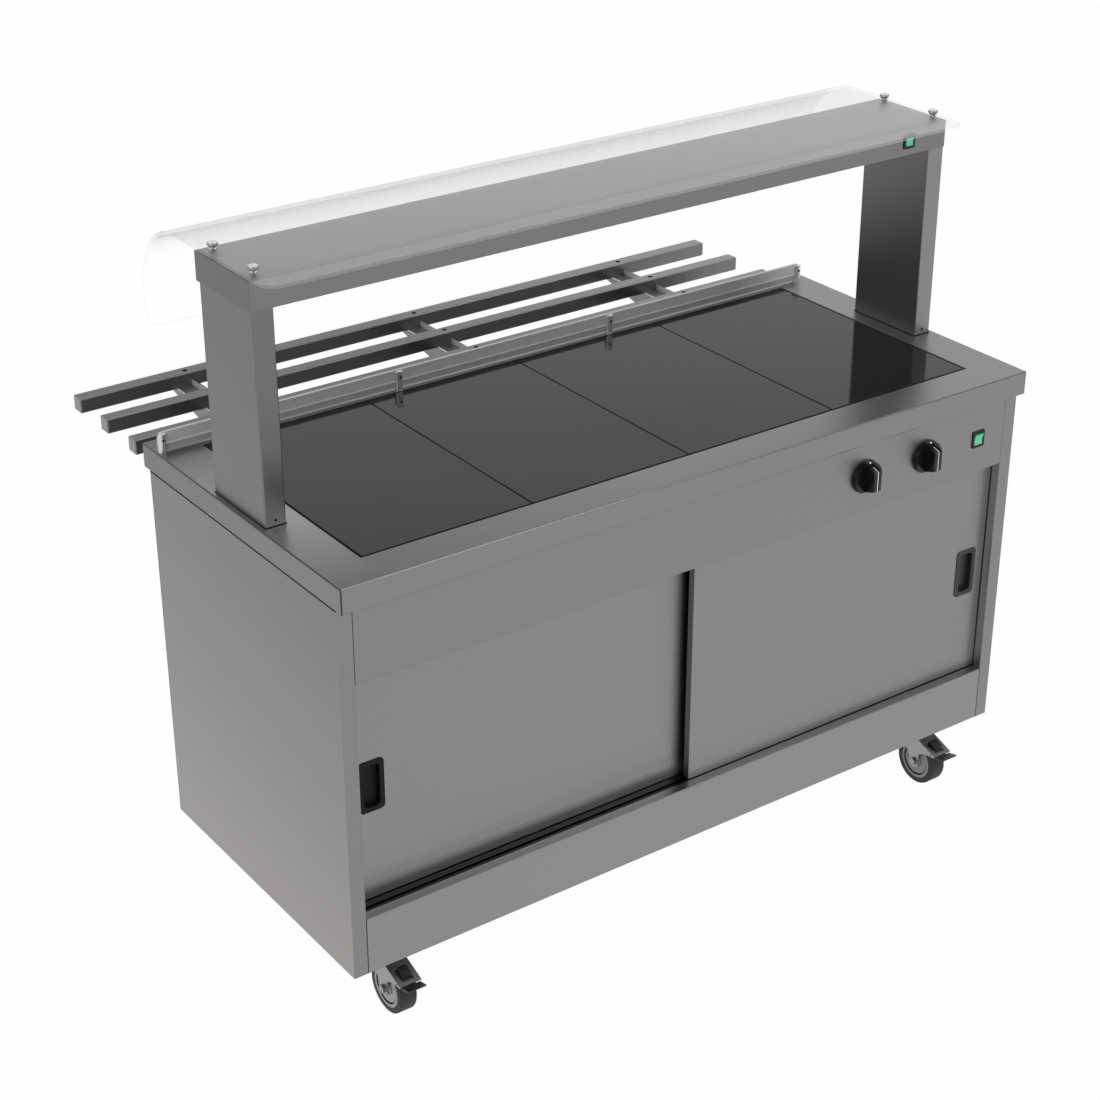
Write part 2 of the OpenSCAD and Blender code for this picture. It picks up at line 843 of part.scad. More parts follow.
// Folded reflector above the lamps
module reflector() {
    t = 1;
    top = glass_z - gantry_t;
    foot = head_z + gantry_t;
    flat = half_lamp * 0.6;
    lip_y = half_lamp + lamp_lip - gantry_t - 0.5;
    foot_y = lip_y - reflector_lip;
    color("#c8c9c9") place() translate([-lamp_run / 2, head_mid, 0]) rotate([90, 0, 90])
        linear_extrude(lamp_run) polygon([
            [-flat, top], [flat, top], [foot_y, foot + t], [lip_y, foot + t], [lip_y, foot],
            [foot_y - t, foot], [flat - t, top - t], [-flat + t, top - t], [-foot_y + t, foot],
            [-lip_y, foot], [-lip_y, foot + t], [-foot_y, foot + t]]);
}

// Quartz tubes between ceramic end blocks that hang from the reflector
module lamps() {
    tube = lamp_pitch - 34;
    color("#e9e4d6") place() for (i = [0:lamp_n - 1])
        translate([(i - (lamp_n - 1) / 2) * lamp_pitch, head_mid, lamp_z]) {
            translate([-tube / 2, 0, 0]) rotate([0, 90, 0]) cylinder(d = lamp_d, h = tube);
            pair(tube / 2) block([-6, 6], [-8, 8], [-7, glass_z - gantry_t - 1 - lamp_z]);
        }
}

// Wire guard across the lamp opening, resting on its lip
module lamp_guard() {
    rod = 3;
    reach = half_lamp + 3;
    rest = head_z + gantry_t + rod / 2;
    n = floor((lamp_run - 20) / guard_pitch);
    color("#c9c9c9") place() {
        for (i = [0:n]) translate([(i - n / 2) * guard_pitch, head_mid - reach, rest])
            rotate([-90, 0, 0]) cylinder(d = rod, h = 2 * reach);
        for (s = [-1, 1]) translate([0, head_mid + s * half_lamp / 3, rest]) rotate([0, 90, 0])
            cylinder(d = rod, h = n * guard_pitch, center = true);
    }
}

// Section of the gantry glass: flat over the head, then bent down towards the customers
module glass_section() {
    y0 = head_y0 - glass_front;
    y1 = head_y0 + glass_flat;
    z1 = glass_z + glass_t;
    inner = glass_bend - glass_t;
    translate([y0, glass_z]) square([y1 - y0, glass_t]);
    translate([y1, z1 - glass_bend]) intersection() {
        difference() {
            circle(glass_bend, $fn = 96);
            circle(inner, $fn = 96);
        }
        square(glass_bend + 1);
    }
    translate([y1 + inner, z1 - glass_drop]) square([glass_t, glass_drop - glass_bend]);
}

module gantry_glass() {
    y0 = head_y0 - glass_front;
    y1 = head_y0 + glass_flat + glass_bend;
    z0 = glass_z + glass_t - glass_drop;
    color("#cfdcd8", 0.35) place() difference() {
        translate([-glass_x, 0, 0]) rotate([90, 0, 90]) linear_extrude(2 * glass_x) glass_section();
        for (s = [0, 1]) mirror([s, 0, 0]) {
            translate([glass_x - glass_corner, y0 + glass_corner, glass_z - 1]) corner_cut(glass_t + 2);
            translate([glass_x - glass_corner, y1 + 1, z0 + glass_corner]) rotate([90, 0, 0])
                corner_cut(glass_t + 2);
        }
        each_fixing() translate([0, 0, -1]) cylinder(d = stud_d + 2, h = glass_t + 2);
    }
}

// Rounds off the corner at +X, -Y of a plate
module corner_cut(h) {
    difference() {
        translate([0, -glass_corner - 1, 0]) cube([glass_corner + 1, glass_corner + 1, h]);
        translate([0, 0, -1]) cylinder(r = glass_corner, h = h + 2);
    }
}

stud_d = 8;
fixing_y = [head_y0 + 17.5, head_y1 - 30];

module each_fixing() {
    for (s = [-1, 1], y = fixing_y) translate([s * (glass_x - fixing_x), y, glass_z]) children();
}

// Chromed clamp buttons: stud, base washer and a head that tapers down to it
module glass_fixings() {
    color("#d5d6d6") place() each_fixing() {
        cylinder(d = stud_d, h = glass_t + 1);
        translate([0, 0, glass_t]) rotate_extrude() polygon([
            [0, 0], [0.36 * fixing_d, 0], [0.36 * fixing_d, 1.5], [0.27 * fixing_d, 3],
            [0.5 * fixing_d, fixing_h - 4.5], [0.5 * fixing_d, fixing_h - 1],
            [0.46 * fixing_d, fixing_h], [0, fixing_h]]);
    }
}

strip_y0 = worktop_d / 2 - strip_y;
strip_foot = 3;
strip_z = top_z + strip_foot + push_fit;

// Low glass strip along the customer edge, with its top corners rounded
module strip_glass() {
    x = worktop_l / 2 - strip_inset;
    r = 12;
    color("#cfdcd8", 0.35) place() translate([-strip_shift, strip_y0 + glass_t, strip_z])
        rotate([90, 0, 0]) linear_extrude(glass_t) union() {
            translate([-x, 0]) square([2 * x, strip_top - strip_foot - push_fit - r]);
            translate([-x + r, 0]) square([2 * (x - r), strip_top - strip_foot - push_fit]);
            for (s = [-1, 1]) translate([s * (x - r), strip_top - strip_foot - push_fit - r]) circle(r);
        }
}

// Slotted posts that hold the strip, each with a grub screw hole at the front
module strip_posts() {
    x = worktop_l / 2 - strip_inset - 7;
    color("#c9caca") place() for (i = [0:post_n - 1])
        translate([-strip_shift - x + i * 2 * x / (post_n - 1), strip_y0 + 1.5, top_z]) difference() {
            union() {
                cylinder(d = post_d, h = post_h - 1);
                cylinder(d = post_d - 2, h = post_h);
            }
            translate([-post_d, -1.5 - push_fit, strip_foot])
                cube([2 * post_d, glass_t + 2 * push_fit, post_h]);
            translate([0, -post_d, post_h * 0.68]) rotate([-90, 0, 0])
                cylinder(d = 5, h = post_d - 2.5 - push_fit);
        }
}

bracket_xs = [-bracket_pitch, 0, bracket_pitch];
access_d = 10;

// Three square tubes with pressed end plugs
module tray_tubes() {
    inner = tube_w - 2 * tube_t;
    color(steel) place() for (i = [0:2]) translate([0, tube_y0 + i * tube_pitch, tray_z]) {
        difference() {
            block([-tube_x + 2, tube_x - 2], [0, tube_w], [0, tube_w]);
            block([-tube_x, tube_x], [tube_t, tube_w - tube_t], [tube_t, tube_w - tube_t]);
            for (x = bracket_xs) translate([x, tube_w / 2, tube_w - tube_t - 1])
                cylinder(d = access_d, h = tube_t + 2);
        }
        for (s = [0, 1]) mirror([s, 0, 0]) {
            block([tube_x - 2, tube_x], [0, tube_w], [0, tube_w]);
            block([tube_x - 14, tube_x - 1], [tube_t + push_fit, tube_w - tube_t - push_fit],
                  [tube_t + push_fit, inner + tube_t - push_fit]);
        }
    }
}

// Folded bracket: back plate, two tapering webs, a sloping foot and top flanges
module tray_brackets() {
    y0 = cab_b;
    y1 = tray_rear - 4;
    tip = 8;
    t = bracket_t;
    color("#84898c") place() for (x = bracket_xs) translate([x - bracket_w / 2, 0, tray_z]) difference() {
        rotate([90, 0, 90]) linear_extrude(bracket_w)
            polygon([[y0, 0], [y1, 0], [y1, -tip], [y0, -bracket_root]]);
        translate([t, 0, 0]) rotate([90, 0, 90]) linear_extrude(bracket_w - 2 * t)
            polygon([[y0 + t, -t], [y1 + 1, -t], [y1 + 1, -tip + t], [y0 + t, -bracket_root + 1.3 * t]]);
        translate([bracket_w * 0.28, worktop_d / 2, -t - 1]) cube([bracket_w * 0.44, y1, t + 2]);
    }
}

gland_r = 10;
gland_x = 120;
gland_drop = 50;
gland_l = 21;

// Axis of the cable gland, facing the customers, low on the back
module gland_axis() {
    translate([cab_x - gland_x, cab_b, sill_z - gland_drop]) rotate([-90, 0, 0]) children();
}

module cable_gland() {
    color("#26282a") place() gland_axis() difference() {
        union() {
            translate([0, 0, -skin_t - 6]) cylinder(r = gland_r, h = skin_t + 10);
            translate([0, 0, -skin_t - 6]) cylinder(r = gland_r * 1.45, h = 6, $fn = 6);
            cylinder(r = gland_r * 1.45, h = 7, $fn = 6);
            translate([0, 0, 6]) cylinder(r1 = gland_r * 1.2, r2 = gland_r * 0.9, h = gland_l - 6);
        }
        translate([0, 0, -gland_l]) cylinder(r = gland_r * 0.5, h = 3 * gland_l);
    }
}

// Swivel axes of the castors: s for left or right, e for front or rear
module castor_place(s, e) {
    y = e < 0 ? cab_f + castor_ay : cab_b - castor_ay;
    translate([s * castor_ax, y, 0]) mirror([0, e < 0 ? 0 : 1, 0]) children();
}

// Fixed head of a castor: plate on four bolts, race cup, king pin and nut
module castor_head() {
    nut_z = crown_z - plate_t - seat_gap;
    translate([0, 0, base_z - plate_t]) round_plate(plate_w, plate_w + 10, 8, plate_t);
    for (x = [-1, 1], y = [-1, 1])
        translate([x * (plate_w / 2 - 9), y * (plate_w / 2 - 4), base_z - plate_t - 5])
            cylinder(r = 7.5, h = 6, $fn = 6);
    translate([0, 0, crown_z + seat_gap])
        cylinder(r1 = cup_r - 4, r2 = cup_r, h = base_z - plate_t - crown_z);
    translate([0, 0, nut_z - 5]) cylinder(r = king_r, h = base_z - nut_z);
    translate([0, 0, nut_z - 6]) cylinder(r = king_r + 5, h = 6, $fn = 6);
}

module castor_plates() {
    color("#a4a6a7") place() for (s = [-1, 1], e = [-1, 1]) castor_place(s, e) castor_head();
}

// Outline of a fork cheek: forward is -X here and the axle is at the origin
module cheek_outline(braked) {
    top = crown_z - wheel_r;
    union() {
        circle(cheek_r);
        if (braked) polygon([[-cheek_r, 0], [-cheek_r, 22], [-26, 30], [nose[0], nose[1] - 3], nose,
                             cover_bend, [trail - 30, top], [trail + 24, top], [trail + 22, top - 12],
                             [cheek_r - 1, 8]]);
        else polygon([[-cheek_r, 0], [trail - 30, top], [trail + 24, top], [trail + 22, top - 12],
                      [cheek_r - 1, 8]]);
    }
}

// Draws a profile given forward and up from the axle, as a slab of half width w
module across(w) {
    translate([-w, -trail, wheel_r]) rotate([90, 0, 90]) linear_extrude(2 * w) children();
}

module on_axle() {
    translate([0, -trail, wheel_r]) rotate([0, 90, 0]) children();
}

module on_pedal_pin() {
    translate([0, -trail + pedal_pin[0], wheel_r + pedal_pin[1]]) rotate([0, 90, 0]) children();
}

// Pressed fork: crown round the king pin, two cheeks and, when braked, a sloping cover
module fork(braked) {
    outer = fork_in + plate_t;
    top = crown_z - wheel_r;
    color("#a4a6a7") difference() {
        union() {
            translate([0, 0, crown_z - plate_t]) cylinder(r = cup_r, h = plate_t);
            block([-outer, outer], [-30, 18], [crown_z - plate_t, crown_z]);
            difference() {
                across(outer) cheek_outline(braked);
                across(fork_in) translate([-wheel_d, -wheel_r]) square([2 * wheel_d, top + wheel_r - 1]);
            }
            if (braked) across(fork_in + 1) polygon([
                nose, cover_bend, [trail - 30, top - 1], [trail - 28, top - 1], cover_bend + [1.5, -2],
                nose - [0, 2]]);
        }
        translate([0, 0, crown_z - 20]) cylinder(r = king_r + run_fit, h = 40);
        on_axle() cylinder(d = axle_d + 2 * push_fit, h = 4 * fork_in, center = true);
        if (braked) on_pedal_pin() cylinder(r = pedal_pin_r + run_fit, h = 4 * fork_in, center = true);
        if (braked) across(pad_w / 2 + 1.5) translate(pedal_pin + [-4.5, -5]) square([29, 30]);
    }
    color("#b7b9ba") on_axle() {
        cylinder(d = axle_d, h = 2 * (outer + 1), center = true);
        for (s = [-1, 1]) translate([0, 0, s * (outer + 2.5)])
            cylinder(r = axle_d * 0.85, h = 5, center = true, $fn = 6);
    }
}

module tyre() {
    r = 4;
    color("#2e2c2b") on_axle() difference() {
        rotate_extrude($fn = 96) union() {
            translate([hub_r, -wheel_w / 2 + r]) square([wheel_r - hub_r, wheel_w - 2 * r]);
            translate([hub_r, -wheel_w / 2]) square([wheel_r - hub_r - r, wheel_w]);
            for (s = [-1, 1]) translate([wheel_r - r, s * (wheel_w / 2 - r)]) circle(r);
        }
        cylinder(r = hub_r, h = wheel_w + 2, center = true, $fn = 96);
    }
}

// Hub with a raised outer ring, a dished web and a boss that turns on the axle
module hub() {
    half = wheel_w / 2;
    color("#a9aaab") on_axle() rotate_extrude($fn = 96) polygon([
        [axle_d / 2 + run_fit, -half - 1], [13, -half - 1], [14, -half + 4], [hub_r - 9, -half + 2],
        [hub_r - 8, -half + 6], [hub_r - 6, -half + 6], [hub_r - 6, -half + 0.5], [hub_r, -half + 0.5],
        [hub_r, half - 0.5], [hub_r - 6, half - 0.5], [hub_r - 6, half - 6], [hub_r - 8, half - 6],
        [hub_r - 9, half - 2], [14, half - 4], [13, half + 1], [axle_d / 2 + run_fit, half + 1]]);
}

// Brake pedal: a raised pad that rocks in the cover, and the lip that is pressed down
module pedal() {
    lip_w = fork_in - 0.6;
    root = nose + [-0.8, -7];
    color("#1c1c1d") {
        across(lip_w) polygon([root, root + [-21, 7], root + [-21, 10], root + [0, 4.5]]);
        across(pad_w / 2) {
            polygon([root, root + [-1, 4], pedal_pin + [-4.5, 0], pedal_pin + [0, pedal_pin_r + 1],
                     pedal_pin + [2, -3]]);
            translate(pedal_pin) circle(pedal_pin_r + 1.4);
            polygon([pedal_pin + [0, 1], pedal_pin + [20, 9.4], pedal_pin + [20, 18.5],
                     pedal_pin + [2, 11.5]]);
            for (i = [1:4]) translate(pedal_pin + [2, 11.5] + i * [3.6, 1.4]) circle(rib_r);
        }
        on_pedal_pin() cylinder(r = pedal_pin_r, h = 2 * (fork_in + plate_t - 0.5), center = true);
    }
}

module fork_fl() {
    place() castor_place(-1, -1) fork(true);
}

module fork_fr() {
    place() castor_place(1, -1) fork(true);
}

module fork_rl() {
    place() castor_place(-1, 1) fork(false);
}

module fork_rr() {
    place() castor_place(1, 1) fork(false);
}

module tyre_fl() {
    place() castor_place(-1, -1) tyre();
}

module tyre_fr() {
    place() castor_place(1, -1) tyre();
}

module tyre_rl() {
    place() castor_place(-1, 1) tyre();
}

module tyre_rr() {
    place() castor_place(1, 1) tyre();
}

module hub_fl() {
    place() castor_place(-1, -1) hub();
}

module hub_fr() {
    place() castor_place(1, -1) hub();
}

module hub_rl() {
    place() castor_place(-1, 1) hub();
}

module hub_rr() {
    place() castor_place(1, 1) hub();
}

module pedal_fl() {
    place() castor_place(-1, -1) pedal();
}

module pedal_fr() {
    place() castor_place(1, -1) pedal();
}

worktop();
ceramic_panels();
panel_seal();
heater_pans();
radiant_elements();
side_left();
side_right();
back_panel();
base_panel();
plinth();
fascia();
upper_track();
lower_track();
cupboard_liner();
shelves();
shelf_runners();
cupboard_element();
door_left();
door_right();
handle_left();
handle_right();
glides_left();
glides_right();
thermostats();
knob_left();
knob_right();
spindle_left();
spindle_right();
cupboard_switch();
cupboard_rocker();
gantry_switch();
gantry_rocker();
leg_left();
leg_right();
gantry_head();
reflector();
lamps();
lamp_guard();
gantry_glass();
glass_fixings();
strip_glass();
strip_posts();
tray_tubes();
tray_brackets();
cable_gland();
castor_plates();
fork_fl();
fork_fr();
fork_rl();
fork_rr();
tyre_fl();
tyre_fr();
tyre_rl();
tyre_rr();
hub_fl();
hub_fr();
hub_rl();
hub_rr();
pedal_fl();
pedal_fr();
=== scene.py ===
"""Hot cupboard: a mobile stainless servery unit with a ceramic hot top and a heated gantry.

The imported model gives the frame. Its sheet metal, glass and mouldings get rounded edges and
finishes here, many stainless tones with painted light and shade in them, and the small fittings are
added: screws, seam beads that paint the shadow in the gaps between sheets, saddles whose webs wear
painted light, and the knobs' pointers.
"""
import json
import math

import bmesh
import bpy
from mathutils import Matrix, Vector


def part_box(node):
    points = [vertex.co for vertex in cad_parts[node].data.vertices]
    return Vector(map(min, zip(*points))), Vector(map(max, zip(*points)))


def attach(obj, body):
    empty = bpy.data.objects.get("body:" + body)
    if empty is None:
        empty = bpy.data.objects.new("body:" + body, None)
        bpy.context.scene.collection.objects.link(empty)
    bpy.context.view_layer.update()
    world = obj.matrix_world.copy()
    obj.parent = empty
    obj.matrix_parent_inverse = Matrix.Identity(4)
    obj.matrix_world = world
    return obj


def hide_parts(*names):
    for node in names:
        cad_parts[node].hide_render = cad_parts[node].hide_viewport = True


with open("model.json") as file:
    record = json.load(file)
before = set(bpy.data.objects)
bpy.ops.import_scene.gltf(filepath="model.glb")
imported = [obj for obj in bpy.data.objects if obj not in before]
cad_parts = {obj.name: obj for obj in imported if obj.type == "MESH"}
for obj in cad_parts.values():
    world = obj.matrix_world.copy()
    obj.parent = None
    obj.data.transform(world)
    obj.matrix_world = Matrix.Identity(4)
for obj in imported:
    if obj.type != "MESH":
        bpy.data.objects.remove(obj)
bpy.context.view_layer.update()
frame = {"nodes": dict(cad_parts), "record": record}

bl_info = {
    "name": "Hot cupboard",
    "version": (1, 0, 0),
    "blender": (4, 5, 0),
    "location": "3D View > Sidebar > Hot cupboard",
    "description": "Finishes and small fittings of a mobile stainless hot cupboard",
    "category": "Object",
}

BODY_OF = {node: body for body, nodes in frame["record"]["behaviour"]["bodies"].items() for node in nodes}
SLOT_OF = {row["node"]: row["material_slot"] for row in frame["record"]["subparts"]}
MM = 0.001
# Places in millimetres, across and along from the worktop's middle, and up from the floor.
MIDDLE_Y = 145.6
WORKTOP_Z = 905.0
LEFT_STRIP_X = -668.0
STRIP_FRONT, STRIP_MIDDLE, STRIP_REAR = (y - MIDDLE_Y for y in (-339, -60, 330))
POSTS = [-739 + 485.333 * i for i in range(4)]
POST_SCREW_Z = WORKTOP_Z + 24.5
BRACKETS = (-517, 0, 517)
TUBE_Y, TUBE_WIDTH, TUBE_PITCH = 389.05, 28.5, 113.4
TUBE_GAPS = [TUBE_Y + TUBE_WIDTH + TUBE_PITCH * i for i in range(2)]
# How far a normal must point along an axis for its face to lie square to it, or to look mostly that way.
FLAT, STEEP = 0.98, 0.7
# Edge radii of small mouldings, thin plates, pedals, pressed plates and knobs.
SMALL_EDGE, THIN_EDGE, PEDAL_EDGE, PLATE_EDGE, KNOB_EDGE = (size * MM for size in (0.5, 0.6, 0.7, 0.8, 0.9))


def place(x, y, z):
    """Point given in millimetres from the worktop's middle and the floor."""
    return Vector((x * MM, (y - MIDDLE_Y) * MM, z * MM))


def linear(code):
    """Linear colour of an sRGB hex code."""
    parts = [int(code[i:i + 2], 16) / 255 for i in (1, 3, 5)]
    return tuple(c / 12.92 if c <= 0.04045 else ((c + 0.055) / 1.055) ** 2.4 for c in parts)


def add(tree, kind, inputs=None, **settings):
    """Add one node with its settings, values and links; a node among them gives its first output."""
    node = tree.nodes.new(kind)
    for name, value in settings.items():
        setattr(node, name, value)
    for key, value in (inputs or {}).items():
        if isinstance(value, bpy.types.Node):
            value = next(socket for socket in value.outputs if socket.enabled)
        if isinstance(value, bpy.types.NodeSocket):
            tree.links.new(value, node.inputs[key])
        else:
            node.inputs[key].default_value = value
    return node


def tinted(tone, gain=1.0):
    """Colour socket value of a tone, made lighter or darker."""
    return (*(min(1.0, part * gain) for part in tone), 1.0)


def emptied(owner):
    """Node tree of a material or a world, without its nodes."""
    owner.use_nodes = True
    owner.node_tree.nodes.clear()
    return owner.node_tree


def put(name, data):
    """Object that shows some data, in the scene."""
    made = bpy.data.objects.new(name, data)
    bpy.context.scene.collection.objects.link(made)
    return made


def finish(name, build):
    """Material of one finish, built afresh from the present colours."""
    made = bpy.data.materials.get(name) or bpy.data.materials.new(name)
    tree = emptied(made)
    add(tree, "ShaderNodeOutputMaterial", {"Surface": build(tree)})
    return made


def streaks(tree, along, spacing, stretch):
    """Fine lines along one axis, from noise that is stretched that way."""
    scale = [1 / (spacing * MM)] * 3
    scale["xyz".index(along)] /= stretch
    spot = add(tree, "ShaderNodeTexCoord").outputs["Object"]
    turned = add(tree, "ShaderNodeMapping", {"Vector": spot, "Scale": scale})
    return add(tree, "ShaderNodeTexNoise", {"Vector": turned, "Scale": 1.0, "Detail": 3.0, "Roughness": 0.6})


def speckle(tree, size, detail=2.0):
    """Even noise of one grain size in millimetres."""
    spot = add(tree, "ShaderNodeTexCoord").outputs["Object"]
    return add(tree, "ShaderNodeTexNoise", {"Vector": spot, "Scale": 1 / (size * MM), "Detail": detail,
                                            "Roughness": 0.5})


def height_share(tree, axis, start, stop):
    """Share of the way from one level to another along an axis, in the object's millimetres."""
    spot = add(tree, "ShaderNodeTexCoord").outputs["Object"]
    parts = add(tree, "ShaderNodeSeparateXYZ", {"Vector": spot})
    return add(tree, "ShaderNodeMapRange", {"Value": parts.outputs[axis], "From Min": start * MM,
                                            "From Max": stop * MM})


def wandering(tree, pattern, tone, contrast, smooth, rough):
    """Colour and roughness that both follow one pattern."""
    shade = add(tree, "ShaderNodeMix", {"Factor": pattern, "A": tinted(tone), "B": tinted(tone, contrast)},
                data_type="RGBA")
    gloss = add(tree, "ShaderNodeMapRange", {"Value": pattern, "To Min": smooth, "To Max": rough})
    return {"Base Color": shade, "Roughness": gloss}


def satin_stainless(low, high, axis, start, stop, along, rough):
    """Dull-polished stainless sheet: a soft even sheen with a very faint long grain.

    Its tone passes from low to high along an axis, which paints light and shade on the sheet. The real grain
    is about 0.1 mm wide, and it is drawn 1.5 mm wide so that it shows at all.
    """
    def build(tree):
        grain = streaks(tree, along, 1.5, 120)
        # Painted light and shade: the tone passes from low to high along the axis.
        base = add(tree, "ShaderNodeMix", {"Factor": height_share(tree, axis, start, stop), "A": tinted(low),
                                           "B": tinted(high)}, data_type="RGBA")
        depth = add(tree, "ShaderNodeMapRange", {"Value": grain, "From Min": 0.35, "From Max": 0.65,
                                                 "To Max": 0.05})
        shade = add(tree, "ShaderNodeMix", {"Factor": depth, "A": base, "B": tinted(low, 0.6)},
                    data_type="RGBA")
        gloss = add(tree, "ShaderNodeMapRange", {"Value": grain, "To Min": rough - 0.03,
                                                 "To Max": rough + 0.04})
        lines = add(tree, "ShaderNodeBump", {"Height": grain, "Distance": 0.006 * MM, "Strength": 0.1})
        return add(tree, "ShaderNodeBsdfPrincipled", {
            "Base Color": shade, "Metallic": 1.0, "Roughness": gloss, "Normal": lines})
    return build


def clouded_metal(tone, rough, size, contrast=0.85, depth=0.0):
    """Metal with cloudy patches: mill finish when they are broad, zinc plate when they are small."""
    def build(tree):
        cloud = speckle(tree, size, 4.0)
        dents = add(tree, "ShaderNodeBump", {"Height": cloud, "Distance": depth * MM, "Strength": 0.2})
        return add(tree, "ShaderNodeBsdfPrincipled", {
            **wandering(tree, cloud, tone, contrast, rough * 0.85, rough * 1.2), "Metallic": 1.0,
            "Normal": dents})
    return build


def rolled_aluminium(tone):
    """Reflector aluminium: bright, with broad rolling lines along it."""
    def build(tree):
        grain = streaks(tree, "x", 2.5, 80)
        return add(tree, "ShaderNodeBsdfPrincipled", {
            **wandering(tree, grain, tone, 0.82, 0.16, 0.26), "Metallic": 1.0})
    return build


def polished_ceramic(tone):
    """Black glass-ceramic, ground and polished: a deep gloss with faint wiping haze."""
    def build(tree):
        haze = speckle(tree, 45, 3.0)
        return add(tree, "ShaderNodeBsdfPrincipled", {
            **wandering(tree, haze, tone, 1.6, 0.05, 0.11), "IOR": 1.5, "Specular IOR Level": 0.2})
    return build


def moulded(tone, rough, grain, depth, shine=0.5):
    """Moulded plastic or rubber: one colour, a fine spark-eroded grain and slightly uneven gloss."""
    def build(tree):
        broad = speckle(tree, 18)
        skin = add(tree, "ShaderNodeBump", {"Height": speckle(tree, grain), "Distance": depth * MM,
                                            "Strength": 0.3})
        return add(tree, "ShaderNodeBsdfPrincipled", {
            **wandering(tree, broad, tone, 1.25, rough - 0.04, rough + 0.06), "IOR": 1.5,
            "Specular IOR Level": shine, "Normal": skin})
    return build


def rocker_lens(dark, light):
    """Green polycarbonate rocker: translucent looking, with painted light that makes the half that tips up
    brighter.
    """
    def build(tree):
        wash = speckle(tree, 11, 1.0)
        way = add(tree, "ShaderNodeNewGeometry").outputs["Normal"]
        facing = add(tree, "ShaderNodeSeparateXYZ", {"Vector": way}).outputs["Z"]
        # Faces that turn downwards take the lighter green: painted light.
        down = add(tree, "ShaderNodeMapRange", {"Value": facing, "From Min": -0.12, "From Max": 0.12,
                                                "To Min": 1.0, "To Max": 0.0})
        base = add(tree, "ShaderNodeMix", {"Factor": down, "A": tinted(dark), "B": tinted(light)},
                   data_type="RGBA")
        depth = add(tree, "ShaderNodeMapRange", {"Value": wash, "To Max": 0.12})
        shade = add(tree, "ShaderNodeMix", {"Factor": depth, "A": base, "B": tinted(dark, 0.6)},
                    data_type="RGBA")
        return add(tree, "ShaderNodeBsdfPrincipled", {
            "Base Color": shade, "IOR": 1.58, "Roughness": 0.22, "Subsurface Weight": 0.15,
            "Subsurface Radius": (0.002, 0.004, 0.003), "Subsurface Scale": 1.0})
    return build


def veiled(tree, shade, cover, hidden):
    """Glass surface that covers what lies behind by a share, and isn't there for some rays."""
    pane = add(tree, "ShaderNodeBsdfPrincipled", {
        "Base Color": shade, "IOR": 1.5, "Roughness": 0.08, "Alpha": cover})
    through = add(tree, "ShaderNodeBsdfTransparent")
    return add(tree, "ShaderNodeMixShader", {0: hidden, 1: pane, 2: through})


def glass_film(tone, square_on, grazing, direct=1.0):
    """Toughened float glass: clear when it is faced, with a neutral veil where it is seen at a slant.

    The share called direct thins the veil where no other pane lies in front.
    """
    def build(tree):
        rays = add(tree, "ShaderNodeLightPath")
        slant = add(tree, "ShaderNodeLayerWeight", {"Blend": 0.5}).outputs["Facing"]
        veil = add(tree, "ShaderNodeMapRange", {"Value": slant, "From Min": 0.25, "To Min": square_on,
                                                "To Max": grazing})
        panes = add(tree, "ShaderNodeMapRange", {"Value": rays.outputs["Transparent Depth"],
                                                 "From Min": 1.0, "From Max": 2.0, "To Min": direct})
        kept = add(tree, "ShaderNodeMath", {0: veil, 1: panes}, operation="MULTIPLY")
        brow = add(tree, "ShaderNodeMath", {0: slant, 1: 5.5}, operation="POWER")
        cover = add(tree, "ShaderNodeMath", {0: brow, 1: 1.2, 2: kept}, operation="MULTIPLY_ADD",
                    use_clamp=True)
        shade = add(tree, "ShaderNodeMix", {"Factor": speckle(tree, 120), "A": tinted(tone),
                                            "B": tinted(tone, 0.97)}, data_type="RGBA")
        return veiled(tree, shade, cover, rays.outputs["Is Shadow Ray"])
    return build


def strip_film(tone, edge):
    """Grey strip glass, with a painted reflection of the worktop: its foot is painted a shade darker under a
    pale painted line.
    """
    def build(tree):
        rays = add(tree, "ShaderNodeLightPath")
        rise = height_share(tree, "Z", WORKTOP_Z + 3, WORKTOP_Z + 38)
        # Painted reflection: a darker foot and a pale line at one height.
        above = add(tree, "ShaderNodeMath", {0: rise, 1: 0.38}, operation="GREATER_THAN")
        level = add(tree, "ShaderNodeMath", {0: rise, 1: 0.39, 2: 0.05}, operation="COMPARE")
        body = add(tree, "ShaderNodeMix", {"Factor": above, "A": tinted(tone, 0.68), "B": tinted(tone)},
                   data_type="RGBA")
        share = add(tree, "ShaderNodeMath", {0: level, 1: 0.75}, operation="MULTIPLY")
        shade = add(tree, "ShaderNodeMix", {"Factor": share, "A": body, "B": tinted(edge)}, data_type="RGBA")
        clear = add(tree, "ShaderNodeMath", {0: rays.outputs["Is Glossy Ray"], 1: above},
                    operation="MULTIPLY")
        hidden = add(tree, "ShaderNodeMath", {0: clear, 1: rays.outputs["Is Shadow Ray"]},
                     operation="MAXIMUM")
        return veiled(tree, shade, 0.88, hidden)
    return build


def fused_quartz(tone):
    """Quartz lamp tube, fire polished, round a pale heating coil."""
    def build(tree):
        coil = streaks(tree, "x", 2.0, 0.5)
        shade = add(tree, "ShaderNodeMix", {"Factor": coil, "A": tinted(tone), "B": tinted(tone, 0.75)},
                    data_type="RGBA")
        return add(tree, "ShaderNodeBsdfPrincipled", {
            "Base Color": shade, "IOR": 1.46, "Roughness": 0.12, "Transmission Weight": 0.3})
    return build


# Sheets of one tone, which has the sheet's name: the way that the grain runs. Most are copies of the one
# satin steel that paint light or shade on faces turned one way: folds, leg cheek, head end, tube fronts and
# ends, saddles and reveals; the track is painted shadow.
EVEN_STEELS = {
    "fascia": "x", "plinth": "x", "ledge": "x", "dark fold": "y", "door": "x", "leg cheek": "z",
    "head": "x", "head end": "y", "tube front": "x", "tube end": "y", "saddle": "y", "reveal": "z",
    "track": "x",
}
